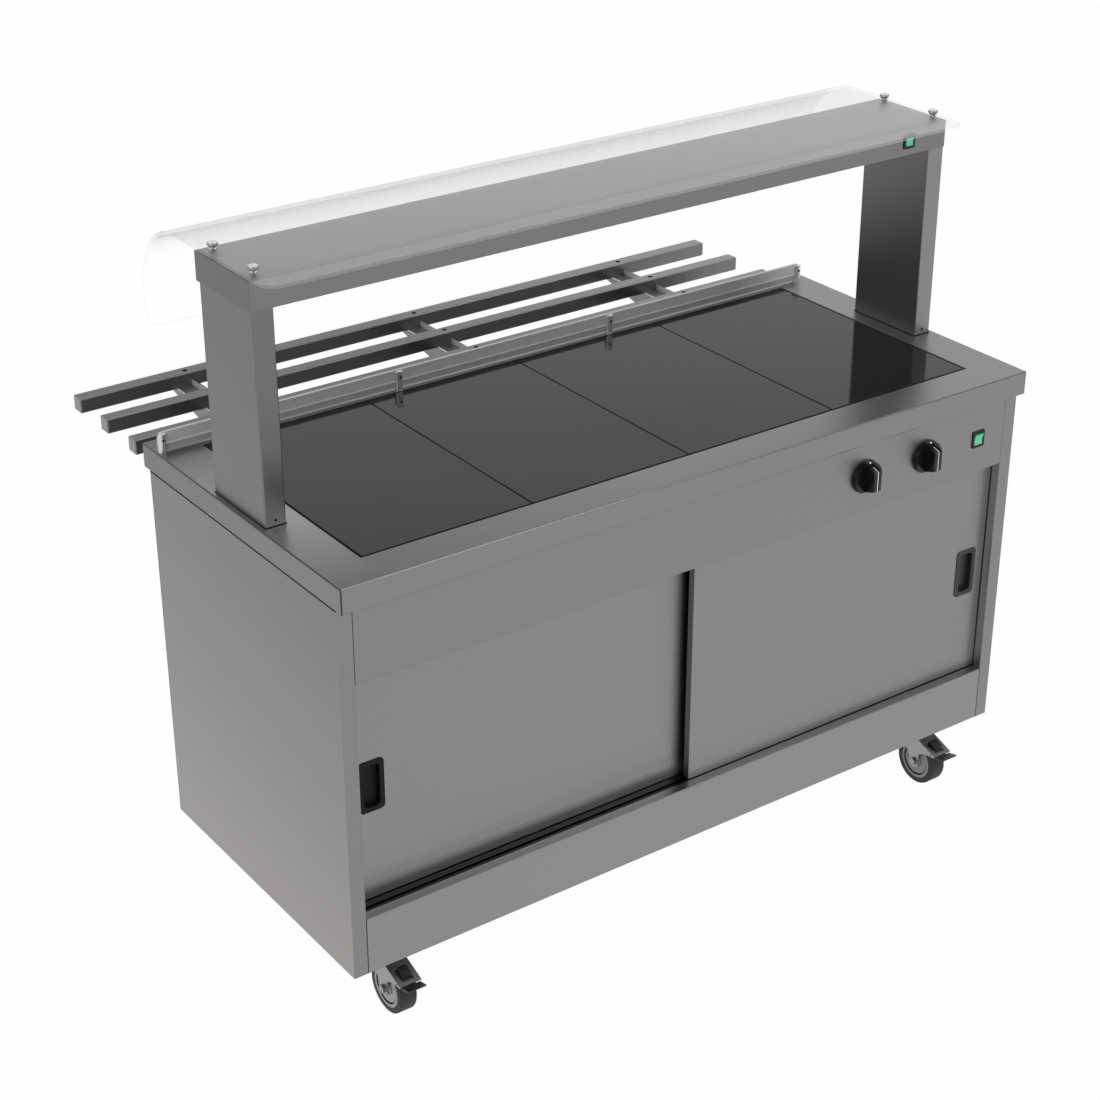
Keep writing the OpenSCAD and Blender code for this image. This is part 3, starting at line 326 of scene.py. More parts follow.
# Sheets that pass from one tone to another: both tones, the axis, where they start and stop, the grain.
# Each passage paints light and shade on the sheet.
GRADED_STEELS = {
    "worktop": ("worktop_left", "worktop_right", "X", -750, -100, "x"),
    "worktop rear left": ("worktop_strip", "worktop_shade", "Y", STRIP_MIDDLE, STRIP_REAR, "y"),
    "worktop front left": ("worktop_left", "worktop_strip", "Y", STRIP_FRONT, STRIP_MIDDLE, "y"),
    "worktop end": ("end_front", "end_rear", "Y", STRIP_FRONT, STRIP_REAR, "y"),
    "light fold": ("light_fold", "worktop_left", "X", -750, -100, "x"),
    "rear door": ("door_foot", "door", "Z", 262, 302, "x"),
    "side": ("side_low", "side_high", "Z", 180, 800, "y"),
    "leg": ("leg_left", "leg_right", "X", -740, 740, "z"),
    "leg side": ("leg_left", "leg_side", "Z", 910, 1280, "z"),
    "leg foot": ("leg_foot", "leg_left", "Z", 910, 1080, "z"),
    "head top": ("head_left", "head_right", "X", -740, 740, "x"),
    "tube": ("tube_left", "tube_right", "X", -200, 640, "x"),
}


def steel(name, rough=0.34):
    """Satin stainless as one sheet wears it, with painted light and shade in its tones: its grain runs along
    the sheet's longer side.
    """
    even = name.replace(" ", "_")
    low, high, *way = GRADED_STEELS.get(name) or (even, even, "X", -750, 750, EVEN_STEELS[name])
    tones = bpy.context.scene.hot_cupboard_steel
    return finish("satin stainless " + name,
                  satin_stainless(getattr(tones, low), getattr(tones, high), *way, rough))


def zinc_plated(name, tone, rough):
    """Zinc plate: small dull spangles with a slightly uneven skin."""
    return finish(name, clouded_metal(tone, rough, 5, 0.82, 0.03))


def bright_plated(name, tone, rough):
    """Chrome or nickel plate: nearly even, with faint clouds that keep it from looking drawn."""
    return finish(name, clouded_metal(tone, rough, 8, 0.93))


# Turns between two faces, in degrees: the least and the most within a curve, how far a corner may be
# from square, and the least that is drawn sharp.
FLAT_TURN, CURVE_TURN, CORNER_SPREAD, SHARP_TURN = 1.0, 35.0, 35.0, 40.0


def merged(node):
    """Copy of a node's mesh with its loose triangles joined and flat faces made whole."""
    mesh = bmesh.new()
    mesh.from_mesh(frame["nodes"][node].data)
    bmesh.ops.remove_doubles(mesh, verts=mesh.verts, dist=1e-6)
    bmesh.ops.dissolve_limit(mesh, angle_limit=math.radians(0.4), verts=mesh.verts, edges=mesh.edges)
    return mesh


def turn(edge):
    """Angle between an edge's two faces, in degrees."""
    return math.degrees(edge.calc_face_angle(0.0)) if len(edge.link_faces) == 2 else 180.0


def breadth(face):
    """Mean width of a long face."""
    return face.calc_area() / max(edge.calc_length() for edge in face.edges)


def cut(mesh, spot, way):
    """Edges where a plane passes through a shape."""
    bmesh.ops.bisect_plane(mesh, geom=mesh.verts[:] + mesh.edges[:] + mesh.faces[:], plane_co=spot,
                           plane_no=way, dist=1e-6)


def soften(mesh, radius, steps=3, choose=None):
    """Round the outer corners of a shape that are wide enough for it, and shade its curves."""
    for face in mesh.faces:
        face.smooth = any(FLAT_TURN < turn(edge) < CURVE_TURN for edge in face.edges)
    if radius > 0:
        wide = {face: breadth(face) > 3 * radius for face in mesh.faces}
        corners = [edge for edge in mesh.edges
                   if len(edge.link_faces) == 2 and edge.is_convex and abs(turn(edge) - 90) < CORNER_SPREAD
                   and all(wide[face] for face in edge.link_faces) and edge.calc_length() > 4 * radius
                   and (not choose or choose(edge))]
        made = bmesh.ops.bevel(mesh, geom=corners, offset=radius, offset_type="OFFSET", segments=steps,
                               profile=0.5, affect="EDGES", clamp_overlap=True)
        for face in made["faces"]:
            face.smooth = True
    for edge in mesh.edges:
        edge.smooth = turn(edge) < SHARP_TURN


def piece(name, mesh, body, slot, *materials):
    """Object made from a mesh, riding on a body; a steel among its materials is given by name."""
    data = bpy.data.meshes.new(name)
    mesh.to_mesh(data)
    mesh.free()
    for made in materials:
        data.materials.append(steel(made) if isinstance(made, str) else made)
    made = put(name, data)
    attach(made, body)
    return made


def rounded(name, node, radius, *materials, steps=3, mark=None, shape=None, choose=None):
    """Copy of a node with rounded edges, which stands for it."""
    mesh = merged(node)
    if shape:
        shape(mesh)
    soften(mesh, radius, steps, choose)
    if mark:
        for face in mesh.faces:
            face.material_index = int(mark(face))
    made = piece(name, mesh, BODY_OF[node], SLOT_OF[node], *materials)
    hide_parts(node)
    return made


def coat(node, made):
    """Give a node that keeps its own shape its finish."""
    data = frame["nodes"][node].data
    data.materials.clear()
    data.materials.append(made)


def lathe(profile, steps=64):
    """Closed shape turned about the Z axis from (radius, height) points in millimetres."""
    mesh = bmesh.new()
    verts = [mesh.verts.new((r * MM, 0, h * MM)) for r, h in profile]
    edges = [mesh.edges.new((a, b)) for a, b in zip(verts, verts[1:])]
    bmesh.ops.spin(mesh, geom=verts + edges, axis=(0, 0, 1), cent=(0, 0, 0), steps=steps,
                   angle=math.tau, use_duplicate=False)
    bmesh.ops.remove_doubles(mesh, verts=mesh.verts, dist=1e-6)
    bmesh.ops.recalc_face_normals(mesh, faces=mesh.faces)
    return mesh


def prism(points, depth, matrix=None):
    """Closed slab from an outline in the XY plane, in millimetres, raised by a depth."""
    mesh = bmesh.new()
    low = [mesh.verts.new((x * MM, y * MM, 0)) for x, y in points]
    mesh.faces.new(low)
    made = bmesh.ops.extrude_face_region(mesh, geom=mesh.faces[:])
    bmesh.ops.translate(mesh, vec=(0, 0, depth * MM),
                        verts=[v for v in made["geom"] if isinstance(v, bmesh.types.BMVert)])
    bmesh.ops.recalc_face_normals(mesh, faces=mesh.faces)
    if matrix:
        mesh.transform(matrix)
    return mesh


def joined(meshes):
    """One mesh from several."""
    whole = bmesh.new()
    for mesh in meshes:
        data = bpy.data.meshes.new("part")
        mesh.to_mesh(data)
        mesh.free()
        whole.from_mesh(data)
        bpy.data.meshes.remove(data)
    return whole


def facing_operator(x, y, z):
    """Frame on a front panel: its X stays, its Y points up and its Z towards the operator."""
    return Matrix.Translation(place(x, y, z)) @ Matrix.Rotation(math.radians(90), 4, "X")


def tree_with(name, sizes):
    """Geometry tree with a geometry input, named sizes, and a geometry output."""
    tree = bpy.data.node_groups.new(name, "GeometryNodeTree")
    tree.interface.new_socket("Geometry", in_out="INPUT", socket_type="NodeSocketGeometry")
    for label in sizes:
        tree.interface.new_socket(label, in_out="INPUT", socket_type="NodeSocketFloat")
    tree.interface.new_socket("Geometry", in_out="OUTPUT", socket_type="NodeSocketGeometry")
    return tree, tree.nodes.new("NodeGroupInput"), tree.nodes.new("NodeGroupOutput")


def finished_tree(tree, result, grown_shape, made):
    """The tree with its shape made real, given a material and put out."""
    real = add(tree, "GeometryNodeRealizeInstances", {"Geometry": grown_shape})
    done = add(tree, "GeometryNodeSetMaterial", {"Geometry": real, "Material": made})
    tree.links.new(done.outputs["Geometry"], result.inputs["Geometry"])
    return tree


def head_tree(made):
    """Pan heads on points, each turned the way that its point faces."""
    tree, given, result = tree_with("Pan heads", ("Radius", "Height"))
    head = add(tree, "GeometryNodeMeshCone", {
        "Vertices": 16, "Side Segments": 1, "Fill Segments": 1, "Radius Top": 0.72, "Radius Bottom": 1.0,
        "Depth": 1.0})
    size = add(tree, "ShaderNodeCombineXYZ", {"X": given.outputs["Radius"], "Y": given.outputs["Radius"],
                                              "Z": given.outputs["Height"]})
    sized = add(tree, "GeometryNodeTransform", {"Geometry": head, "Scale": size})
    facing = add(tree, "GeometryNodeInputNamedAttribute", {"Name": "facing"}, data_type="FLOAT_VECTOR")
    turned = add(tree, "FunctionNodeAlignRotationToVector", {"Vector": facing}, axis="Z")
    spots = add(tree, "GeometryNodeMeshToPoints", {"Mesh": given.outputs["Geometry"]})
    copies = add(tree, "GeometryNodeInstanceOnPoints", {
        "Points": spots, "Instance": sized, "Rotation": turned})
    return finished_tree(tree, result, copies, made)


def bead_tree(made):
    """Square bead along the given edges."""
    tree, given, result = tree_with("Beads", ("Width", "Height"))
    path = add(tree, "GeometryNodeMeshToCurve", {"Mesh": given.outputs["Geometry"]})
    outline = add(tree, "GeometryNodeCurvePrimitiveQuadrilateral", {
        "Width": given.outputs["Width"], "Height": given.outputs["Height"]})
    bead = add(tree, "GeometryNodeCurveToMesh", {"Curve": path, "Profile Curve": outline, "Fill Caps": True})
    return finished_tree(tree, result, bead, made)


def grown(name, tree, sizes, spots, body, facing=None, edges=()):
    """Plain mesh that a geometry tree grows on points or edges, riding on a body."""
    data = bpy.data.meshes.new(name)
    data.from_pydata([tuple(spot) for spot in spots], list(edges), [])
    if facing:
        kept = data.attributes.new("facing", "FLOAT_VECTOR", "POINT")
        kept.data.foreach_set("vector", [part for way in facing for part in way])
    seed = put(name, data)
    modifier = seed.modifiers.new("Tree", "NODES")
    modifier.node_group = tree
    for item in tree.interface.items_tree:
        if item.item_type == "SOCKET" and item.in_out == "INPUT" and item.name in sizes:
            modifier[item.identifier] = sizes[item.name]
    seen = seed.evaluated_get(bpy.context.evaluated_depsgraph_get())
    final = bpy.data.meshes.new_from_object(seen)
    seed.modifiers.remove(modifier)
    seed.data = final
    bpy.data.meshes.remove(data)
    final.name = name
    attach(seed, body)
    return seed


def length(name, description, default):
    """Length property with its default given in millimetres."""
    return bpy.props.FloatProperty(name=name, description=description, default=default * MM, unit="LENGTH",
                                   precision=5, min=0.0)


def tone(name, description, code):
    """Colour property with its default given as an sRGB hex code."""
    return bpy.props.FloatVectorProperty(name=name, description=description, default=linear(code),
                                         subtype="COLOR", min=0.0, max=1.0)


def fraction(name, description, default):
    """Property between none and all."""
    return bpy.props.FloatProperty(name=name, description=description, default=default, min=0.0, max=1.0,
                                   subtype="FACTOR")


class SheetSettings(bpy.types.PropertyGroup):
    """Folds and corners of the sheet metal"""
    worktop_fold: length("Worktop fold", "Outside radius of the worktop's folded edges", 2.2)
    panel_fold: length("Panel fold", "Outside radius of the cabinet panels' folds", 1.5)
    leg_fold: length("Leg fold", "Outside radius of the gantry legs' corners", 2.0)
    tube_corner: length("Tube corner", "Outside radius of the tray tubes' corners", 2.6)


class FittingSettings(bpy.types.PropertyGroup):
    """Sizes of the small fittings"""
    moulding_edge: length("Moulding edge", "Edge radius of plastic mouldings", 0.7)
    screw_radius: length("Screw radius", "Radius of the small pan-head screws", 2.6)
    screw_height: length("Screw height", "Height of the small pan-head screws", 1.4)
    # The seam beads paint the shadow in the gaps between sheets.
    seam_width: length("Seam width", "Width of the dark joint between two sheets", 1.2)
    pointer_width: length("Pointer width", "Width of the white line on each knob", 1.3)


class SteelColours(bpy.types.PropertyGroup):
    """Tones of the stainless sheets, each as it reads in the soft studio light, with painted light and shade"""
    fascia: tone("Fascia", "The fascia and the strips beside the doors", "#878787")
    plinth: tone("Plinth", "The plinth's face", "#8e8e8e")
    ledge: tone("Ledge", "Sheet under the doors, which only sees their shadow", "#888888")
    # Painted light and shade on the worktop: darker at the front left, lighter where the light falls.
    worktop_left: tone("Worktop, front left", "The worktop at its front left corner", "#686868")
    worktop_right: tone("Worktop", "The worktop where the light falls on it", "#848484")
    # Painted light and shade on the left strip: lightest beside the leg, darker at the front and behind it.
    worktop_strip: tone("Worktop, left strip", "The worktop beside the left leg", "#8f8f8f")
    worktop_shade: tone("Worktop, rear left", "The worktop behind the left leg", "#585858")
    # Painted light and shade on the worktop's left end: lighter at the front, darker at the rear.
    end_front: tone("Worktop end, front", "The left skirt at the operator's side", "#7e7e7e")
    end_rear: tone("Worktop end, rear", "The left skirt at the customers' side", "#737373")
    # Painted highlight on the long folds, fading towards the right, and painted shade on the short ones.
    light_fold: tone("Light fold", "Long folds that catch the light", "#868686")
    dark_fold: tone("Dark fold", "Short folds that turn away from the light", "#4a4a4a")
    door: tone("Doors", "The doors", "#8a8a8a")
    # Painted light on the rear door: lighter just above its dark track.
    door_foot: tone("Rear door's foot", "The rear door just above its dark track", "#cacaca")
    # Painted light and shade on the sides: lighter near the floor, darker under the worktop.
    side_low: tone("Sides, low", "The sides near the floor", "#979492")
    side_high: tone("Sides, high", "The sides under the worktop", "#7d7d7d")
    # Painted light and shade on the legs: left darker than right, own tones for sides and the left front.
    leg_left: tone("Left leg", "The gantry's left leg", "#747474")
    leg_side: tone("Left leg, outer side", "The left leg's outer side", "#6f6f6f")
    leg_right: tone("Right leg", "The gantry's right leg", "#878787")
    leg_foot: tone("Leg foot", "Front of the left leg near the dark hot panels", "#939393")
    leg_cheek: tone("Leg cheek", "The right leg where it faces the food", "#6c6c6c")
    head: tone("Gantry head", "The gantry's head", "#7b7b7b")
    # Painted shade on the head: its top under the glass, darker towards the left, and its left end.
    head_left: tone("Head top, left", "Sheet under the glass at the left end", "#4d4d4d")
    head_right: tone("Head top, right", "Sheet under the glass at the right end", "#5a5a5a")
    head_end: tone("Gantry end", "The head's left end", "#676767")
    # Painted light and shade on the tray tubes: darker at the left, own tones for fronts and ends.
    tube_left: tone("Tray tubes, left", "The tray tubes beside the left leg", "#636363")
    tube_right: tone("Tray tubes, right", "The tray tubes at their right end", "#858585")
    tube_front: tone("Tray tubes, front", "Tube faces that look at the cabinet", "#777777")
    tube_end: tone("Tray tube ends", "Caps of the tray tubes", "#8a8a8a")
    # Painted light on the door reveals, lighter than the sheets beside them.
    reveal: tone("Door reveals", "The folded returns beside the doors", "#b0b0b0")
    # Painted light on the saddles' webs.
    saddle: tone("Saddles", "The angles between the tray tubes", "#dcdcdc")
    # Painted shadow on the door track.
    track: tone("Door track", "Track under the doors, deep in their shadow", "#262626")


class PartColours(bpy.types.PropertyGroup):
    """Colours of everything that isn't a stainless sheet"""
    ceramic: tone("Ceramic", "Black glass-ceramic of the hot panels", "#0b0b0c")
    seal: tone("Seal", "Silicone round the hot panels", "#060606")
    cup: tone("Finger cup", "Rim of the finger cups", "#1d1d1e")
    # Painted shade in the finger cups' recess, darker than their rims.
    recess: tone("Cup recess", "Inside of the finger cups", "#0a0a0a")
    knob: tone("Knob", "Body of the two knobs", "#0d0d0e")
    pointer: tone("Pointer", "White filling of the knobs' pointers", "#f2f2f0")
    bezel: tone("Switch bezel", "Body of the rocker switches", "#0a1410")
    # Painted light and shade on the rocker's two halves.
    rocker_painted_shade: tone("Rocker, upper half", "Green of the rocker's darker half", "#2f9a72")
    rocker_painted_light: tone("Rocker, lower half", "Green of the rocker's brighter half", "#57d3a6")
    glass: tone("Gantry glass", "Veil of the gantry glass", "#dad8d7")
    strip: tone("Strip glass", "Grey glass of the low strip", "#b9bab9")
    # Painted light on the strip's rims and in its pale line.
    strip_edge: tone("Strip edge", "Polished edge of the glass strip", "#e4e4e4")
    chrome: tone("Chrome", "Clamp buttons and lamp guard", "#c9cbcd")
    nickel: tone("Nickel", "Posts of the glass strip", "#d0d0cf")
    aluminium: tone("Reflector", "Aluminium over the lamps", "#d6d7d8")
    quartz: tone("Quartz", "Tubes of the lamps", "#e9e4d8")
    mill: tone("Mill steel", "Plain steel inside the cabinet", "#929393")
    heated: tone("Heated steel", "Element sheath that heat has browned", "#7d7267")
    disc: tone("Element disc", "Mineral fibre under the elements", "#d8d2c3")
    zinc: tone("Zinc", "Forks, swivel plates and screws", "#9c9b9a")
    # Painted shade: the darker zinc and chrome on the front castors' covers and the clamp buttons' sides.
    shaded_zinc: tone("Shaded zinc", "Castor covers", "#8c8c8c")
    hub: tone("Hub", "Wheel centres", "#999897")
    tyre: tone("Tyre", "Rubber of the wheels", "#1b1a19")
    pedal: tone("Pedal", "Nylon of the brake pedals", "#0c0c0d")
    nylon: tone("Glides", "Nylon of the door glides", "#dedbd0")
    thermostat: tone("Thermostat", "Bodies of the thermostats", "#c9c3b4")
    gland: tone("Gland", "Nylon of the cable gland", "#17171a")
    # Painted shadow of the seam beads; also the near black of the leg screws and the posts' screw holes.
    shadow: tone("Seam", "Dark gap where two sheets meet", "#1c1c1c")


class StageSettings(bpy.types.PropertyGroup):
    """Floor and surrounding light"""
    floor_size: length("Floor size", "Side of the square floor", 60000)
    fill: fraction("Fill light", "Strength of the surrounding light", 0.62)
    glow: fraction("Floor glow", "Share of the floor that shows plain white", 0.98)


class Maker:
    """Common parts of the operators that make pieces."""
    bl_options = {"REGISTER", "UNDO"}

    def execute(self, context):
        self.make(context.scene.hot_cupboard_sheet, context.scene.hot_cupboard_fitting,
                  context.scene.hot_cupboard_parts)
        return {"FINISHED"}


class MakeCabinet(Maker, bpy.types.Operator):
    """Fold the worktop, sides, fascia, plinth and back of the cabinet"""
    bl_idname = "hot_cupboard.cabinet"
    bl_label = "Cabinet panels"

    def make(self, sheet, fitting, parts):
        rounded("worktop_sheet", "worktop", sheet.worktop_fold,
                "worktop", "worktop end", "light fold", "dark fold", "fascia", "worktop rear left",
                "worktop front left", mark=self.worktop_part, shape=self.part_left_strip)
        for hand, way in (("left", 1), ("right", -1)):
            # The sides take painted light and shade along their height, and their reveals a lighter painted
            # tone.
            rounded("side_sheet_" + hand, "side_" + hand, sheet.panel_fold, "side", "fascia", "reveal",
                    mark=lambda face: 1 if face.normal.y < -STEEP else 2 * (face.normal.x * way > STEEP))
        rounded("fascia_sheet", "fascia", sheet.panel_fold, "fascia")
        # The plinth's fold that turns up wears the darker head-end steel: painted shade on that fold.
        rounded("plinth_sheet", "plinth", sheet.panel_fold, "plinth", "ledge", "head end",
                mark=lambda face: 1 if face.normal.z > FLAT else 2 * (face.normal.z > 0.2))
        rounded("back_sheet", "back_panel", sheet.panel_fold, "fascia")
        # Seam beads of painted shadow: under the worktop's skirt, at the plinth's ends and round the legs'
        # feet.
        skirt_x, skirt_foot = 749.9 - fitting.seam_width / MM / 2, 858.2
        plinth_x, plinth_y = 720.6, -319.9
        leg_inside, leg_outside, leg_half = 701, 740.3, 86.3
        spots = [place(side * skirt_x, y, skirt_foot) for side in (-1, 1) for y in (-318, 316)]
        spots += [place(side * plinth_x, plinth_y, z) for side in (-1, 1) for z in (147.2, 259.6)]
        edges = [(0, 1), (2, 3), (4, 5), (6, 7)]
        for side in (-1, 1):
            first = len(spots)
            spots += [place(side * x, y, WORKTOP_Z + 0.7) for x, y in (
                (leg_inside, -leg_half), (leg_outside, -leg_half), (leg_outside, leg_half),
                (leg_inside, leg_half))]
            edges += [(first + i, first + (i + 1) % 4) for i in range(4)]
        grown("sheet_seams", bead_tree(finish("seam shadow", moulded(parts.shadow, 0.7, 6, 0.0, 0.2))),
              {"Width": fitting.seam_width, "Height": 1.6 * MM}, spots, "cabinet", edges=edges)

    @staticmethod
    def part_left_strip(mesh):
        """Edges in the flat sheet where its left strip begins, and half way along that strip, so that the strip
        can take painted light and shade of its own.
        """
        cut(mesh, place(LEFT_STRIP_X, 0, 0), (1, 0, 0))
        cut(mesh, (0, STRIP_MIDDLE * MM, 0), (0, 1, 0))

    @staticmethod
    def worktop_part(face):
        """Which steel a face wears: flat, left end, light fold, dark fold, front, left strip.

        All but the front paint light or shade: a painted highlight on the long folds, painted shade on the
        short ones, and painted tones that pass across the flat, the left end and the left strip.
        """
        across, along, up = (abs(part) for part in face.normal)
        middle = face.calc_center_median()
        if max(across, along, up) < FLAT:
            return 3 if across > 0.15 else 2 if face.normal.z > 0.15 else 4
        if face.normal.z > FLAT and middle.x < place(LEFT_STRIP_X, 0, 0).x:
            return 5 if middle.y > STRIP_MIDDLE * MM else 6
        return 1 if face.normal.x < -FLAT else 4 if face.normal.y < -FLAT else 0


class MakeDoors(Maker, bpy.types.Operator):
    """Fold the two sliding doors and mould their finger cups"""
    bl_idname = "hot_cupboard.doors"
    bl_label = "Doors and finger cups"

    def make(self, sheet, fitting, parts):
        rim = finish("black ABS", moulded(parts.cup, 0.45, 0.8, 0.02))
        # The cups' insides are a darker, duller black than their rims: painted shade in the recess.
        bowl = finish("black ABS recess", moulded(parts.recess, 0.6, 0.8, 0.02, 0.2))
        nylon = finish("natural nylon", moulded(parts.nylon, 0.5, 0.8, 0.02))
        # The rear door's steel is painted lighter at its foot.
        for hand, front, skin in (("left", -300, "rear door"), ("right", -275, "door")):
            rounded("door_sheet_" + hand, "door_" + hand, sheet.panel_fold, skin)
            rounded("finger_cup_" + hand, "handle_" + hand, fitting.moulding_edge, rim, bowl,
                    mark=lambda face: face.calc_center_median().y > place(0, front + 1, 0).y)
            coat("glides_" + hand, nylon)


class MakeInterior(Maker, bpy.types.Operator):
    """Finish the liner, shelves, tracks and heating parts inside"""
    bl_idname = "hot_cupboard.interior"
    bl_label = "Cupboard interior"

    def make(self, sheet, fitting, parts):
        mill = finish("mill stainless", clouded_metal(parts.mill, 0.42, 60))
        for node in ("heater_pans", "base_panel", "upper_track", "cupboard_liner"):
            coat(node, mill)
        # The lower track wears a near-black steel: painted shadow under the doors.
        coat("lower_track", steel("track"))
        rounded("shelf_sheets", "shelves", 0.0, mill)
        rounded("runner_sheets", "shelf_runners", 0.0, mill)
        rounded("element_tube", "cupboard_element", 0.0,
                finish("heat-tinted steel", clouded_metal(parts.heated, 0.46, 30, 1.25)))
        rounded("element_discs", "radiant_elements", 0.0,
                finish("pressed mineral fibre", moulded(parts.disc, 0.9, 4, 0.3)))
        pale = finish("ceramic-filled nylon", moulded(parts.thermostat, 0.55, 0.8, 0.03))
        rounded("thermostat_bodies", "thermostats", SMALL_EDGE, pale)
        for hand in ("left", "right"):
            rounded("spindle_rod_" + hand, "spindle_" + hand, 0.0,
                    finish("turned steel", clouded_metal(parts.mill, 0.3, 20)))


class MakeCeramicTop(Maker, bpy.types.Operator):
    """Polish the four ceramic panels and lay their black seal"""
    bl_idname = "hot_cupboard.ceramic_top"
    bl_label = "Ceramic top"

    def make(self, sheet, fitting, parts):
        rounded("ceramic_plates", "ceramic_panels", THIN_EDGE,
                finish("black glass-ceramic", polished_ceramic(parts.ceramic)), steps=2)
        coat("panel_seal", finish("black silicone", moulded(parts.seal, 0.7, 1.0, 0.03, 0.1)))


class MakeGantry(Maker, bpy.types.Operator):
    """Fold the gantry's legs and head and finish its lamps"""
    bl_idname = "hot_cupboard.gantry"
    bl_label = "Heated gantry"

    def make(self, sheet, fitting, parts):
        head_foot = place(0, 0, 1281).z
        # The legs' steels paint light and shade: a tone across them, their left-facing sides and the left
        # front.
        for hand, side in (("left", "leg side"), ("right", "leg cheek")):
            rounded("leg_box_" + hand, "leg_" + hand, sheet.leg_fold, "leg", side, "leg foot",
                    mark=lambda face: 1 if face.normal.x < -STEEP
                    else 2 * (hand == "left" and face.normal.y < -STEEP),
                    choose=lambda edge: abs((edge.verts[0].co - edge.verts[1].co).normalized().z) > 0.9)
        # The head's left end and its top under the glass wear painted shade.
        rounded("head_box", "gantry_head", sheet.panel_fold, "head", "head end", "head top",
                mark=lambda face: 1 if face.normal.x < -STEEP else 2 * (face.normal.z > STEEP),
                choose=lambda edge: max(vert.co.z for vert in edge.verts) > head_foot)
        rounded("reflector_sheet", "reflector", 0.0,
                finish("reflector aluminium", rolled_aluminium(parts.aluminium)))
        rounded("lamp_tubes", "lamps", 0.0, finish("fused quartz", fused_quartz(parts.quartz)))
        rounded("guard_wires", "lamp_guard", 0.0, bright_plated("bright chrome", parts.chrome, 0.1))


class MakeGlass(Maker, bpy.types.Operator):
    """Bend and polish the gantry glass and the low glass strip, with their clamps and posts"""
    bl_idname = "hot_cupboard.glass"
    bl_label = "Glass, clamps and posts"

    def make(self, sheet, fitting, parts):
        clear = finish("toughened glass", glass_film(parts.glass, 0.015, 0.12))
        edge = finish("polished glass edge", glass_film(parts.glass, 0.02, 0.15))
        bend = finish("bent toughened glass", glass_film(parts.glass, 0.015, 0.2, 0.12))
        strip = finish("grey strip glass", strip_film(parts.strip, parts.strip_edge))
        # The strip's rims are drawn nearly opaque and pale: painted light.
        light = finish("light strip edge", glass_film(parts.strip_edge, 0.9, 0.95))
        lip = finish("toughened glass lip", glass_film(parts.glass, 0.01, 0.05))
        head_front, head_middle = place(0, -86, 0).y, place(0, 0, 0).y
        pad, level, rim_width, hole = 0.4 * MM, 0.01 * MM, 7 * MM, 2.7 * MM
        smallest_rim, hole_area = 1 * MM * MM, 25 * MM * MM

        def rim(face):
            """Whether a face is a polished edge of a pane."""
            return breadth(face) < rim_width and face.calc_area() > smallest_rim and not face.smooth

        def pane_part(face):
            """Which finish a face of the gantry glass wears: flat, edge, bend, lip before the head."""
            if rim(face) or abs(face.normal.z) < 0.95:
                return 1 if rim(face) else 2
            return 3 * (face.calc_center_median().y < head_front)

        def post_part(face):
            """The dark hole of the grub screw in each post."""
            ways = [face.calc_center_median() - place(x, 0, POST_SCREW_Z) for x in POSTS]
            return face.calc_area() < hole_area and any(max(abs(way.x), abs(way.z)) < hole for way in ways)

        def seated(mesh):
            """Lift the pane's underside off the head by the thickness of its clear pads."""
            low = min(vert.co.z for vert in mesh.verts if vert.co.y < head_middle)
            for vert in mesh.verts:
                if abs(vert.co.z - low) < level:
                    vert.co.z += pad
            cut(mesh, (0, head_front, 0), (0, 1, 0))

        rounded("bent_pane", "gantry_glass", 0.0, clear, edge, bend, lip, mark=pane_part, shape=seated)
        rounded("strip_pane", "strip_glass", 0.0, strip, light, mark=rim)
        # The clamp buttons' sides wear the darker chrome: painted shade.
        rounded("clamp_buttons", "glass_fixings", 0.0, bright_plated("bright chrome", parts.chrome, 0.1),
                bright_plated("shaded chrome", parts.shaded_zinc, 0.16),
                mark=lambda face: face.normal.z < 0.6)
        # The faces round each post's grub screw are drawn near black.
        rounded("post_stubs", "strip_posts", 0.0, bright_plated("satin nickel", parts.nickel, 0.3),
                finish("blackened grub screw", moulded(parts.shadow, 0.6, 1.0, 0.0, 0.2)), mark=post_part)


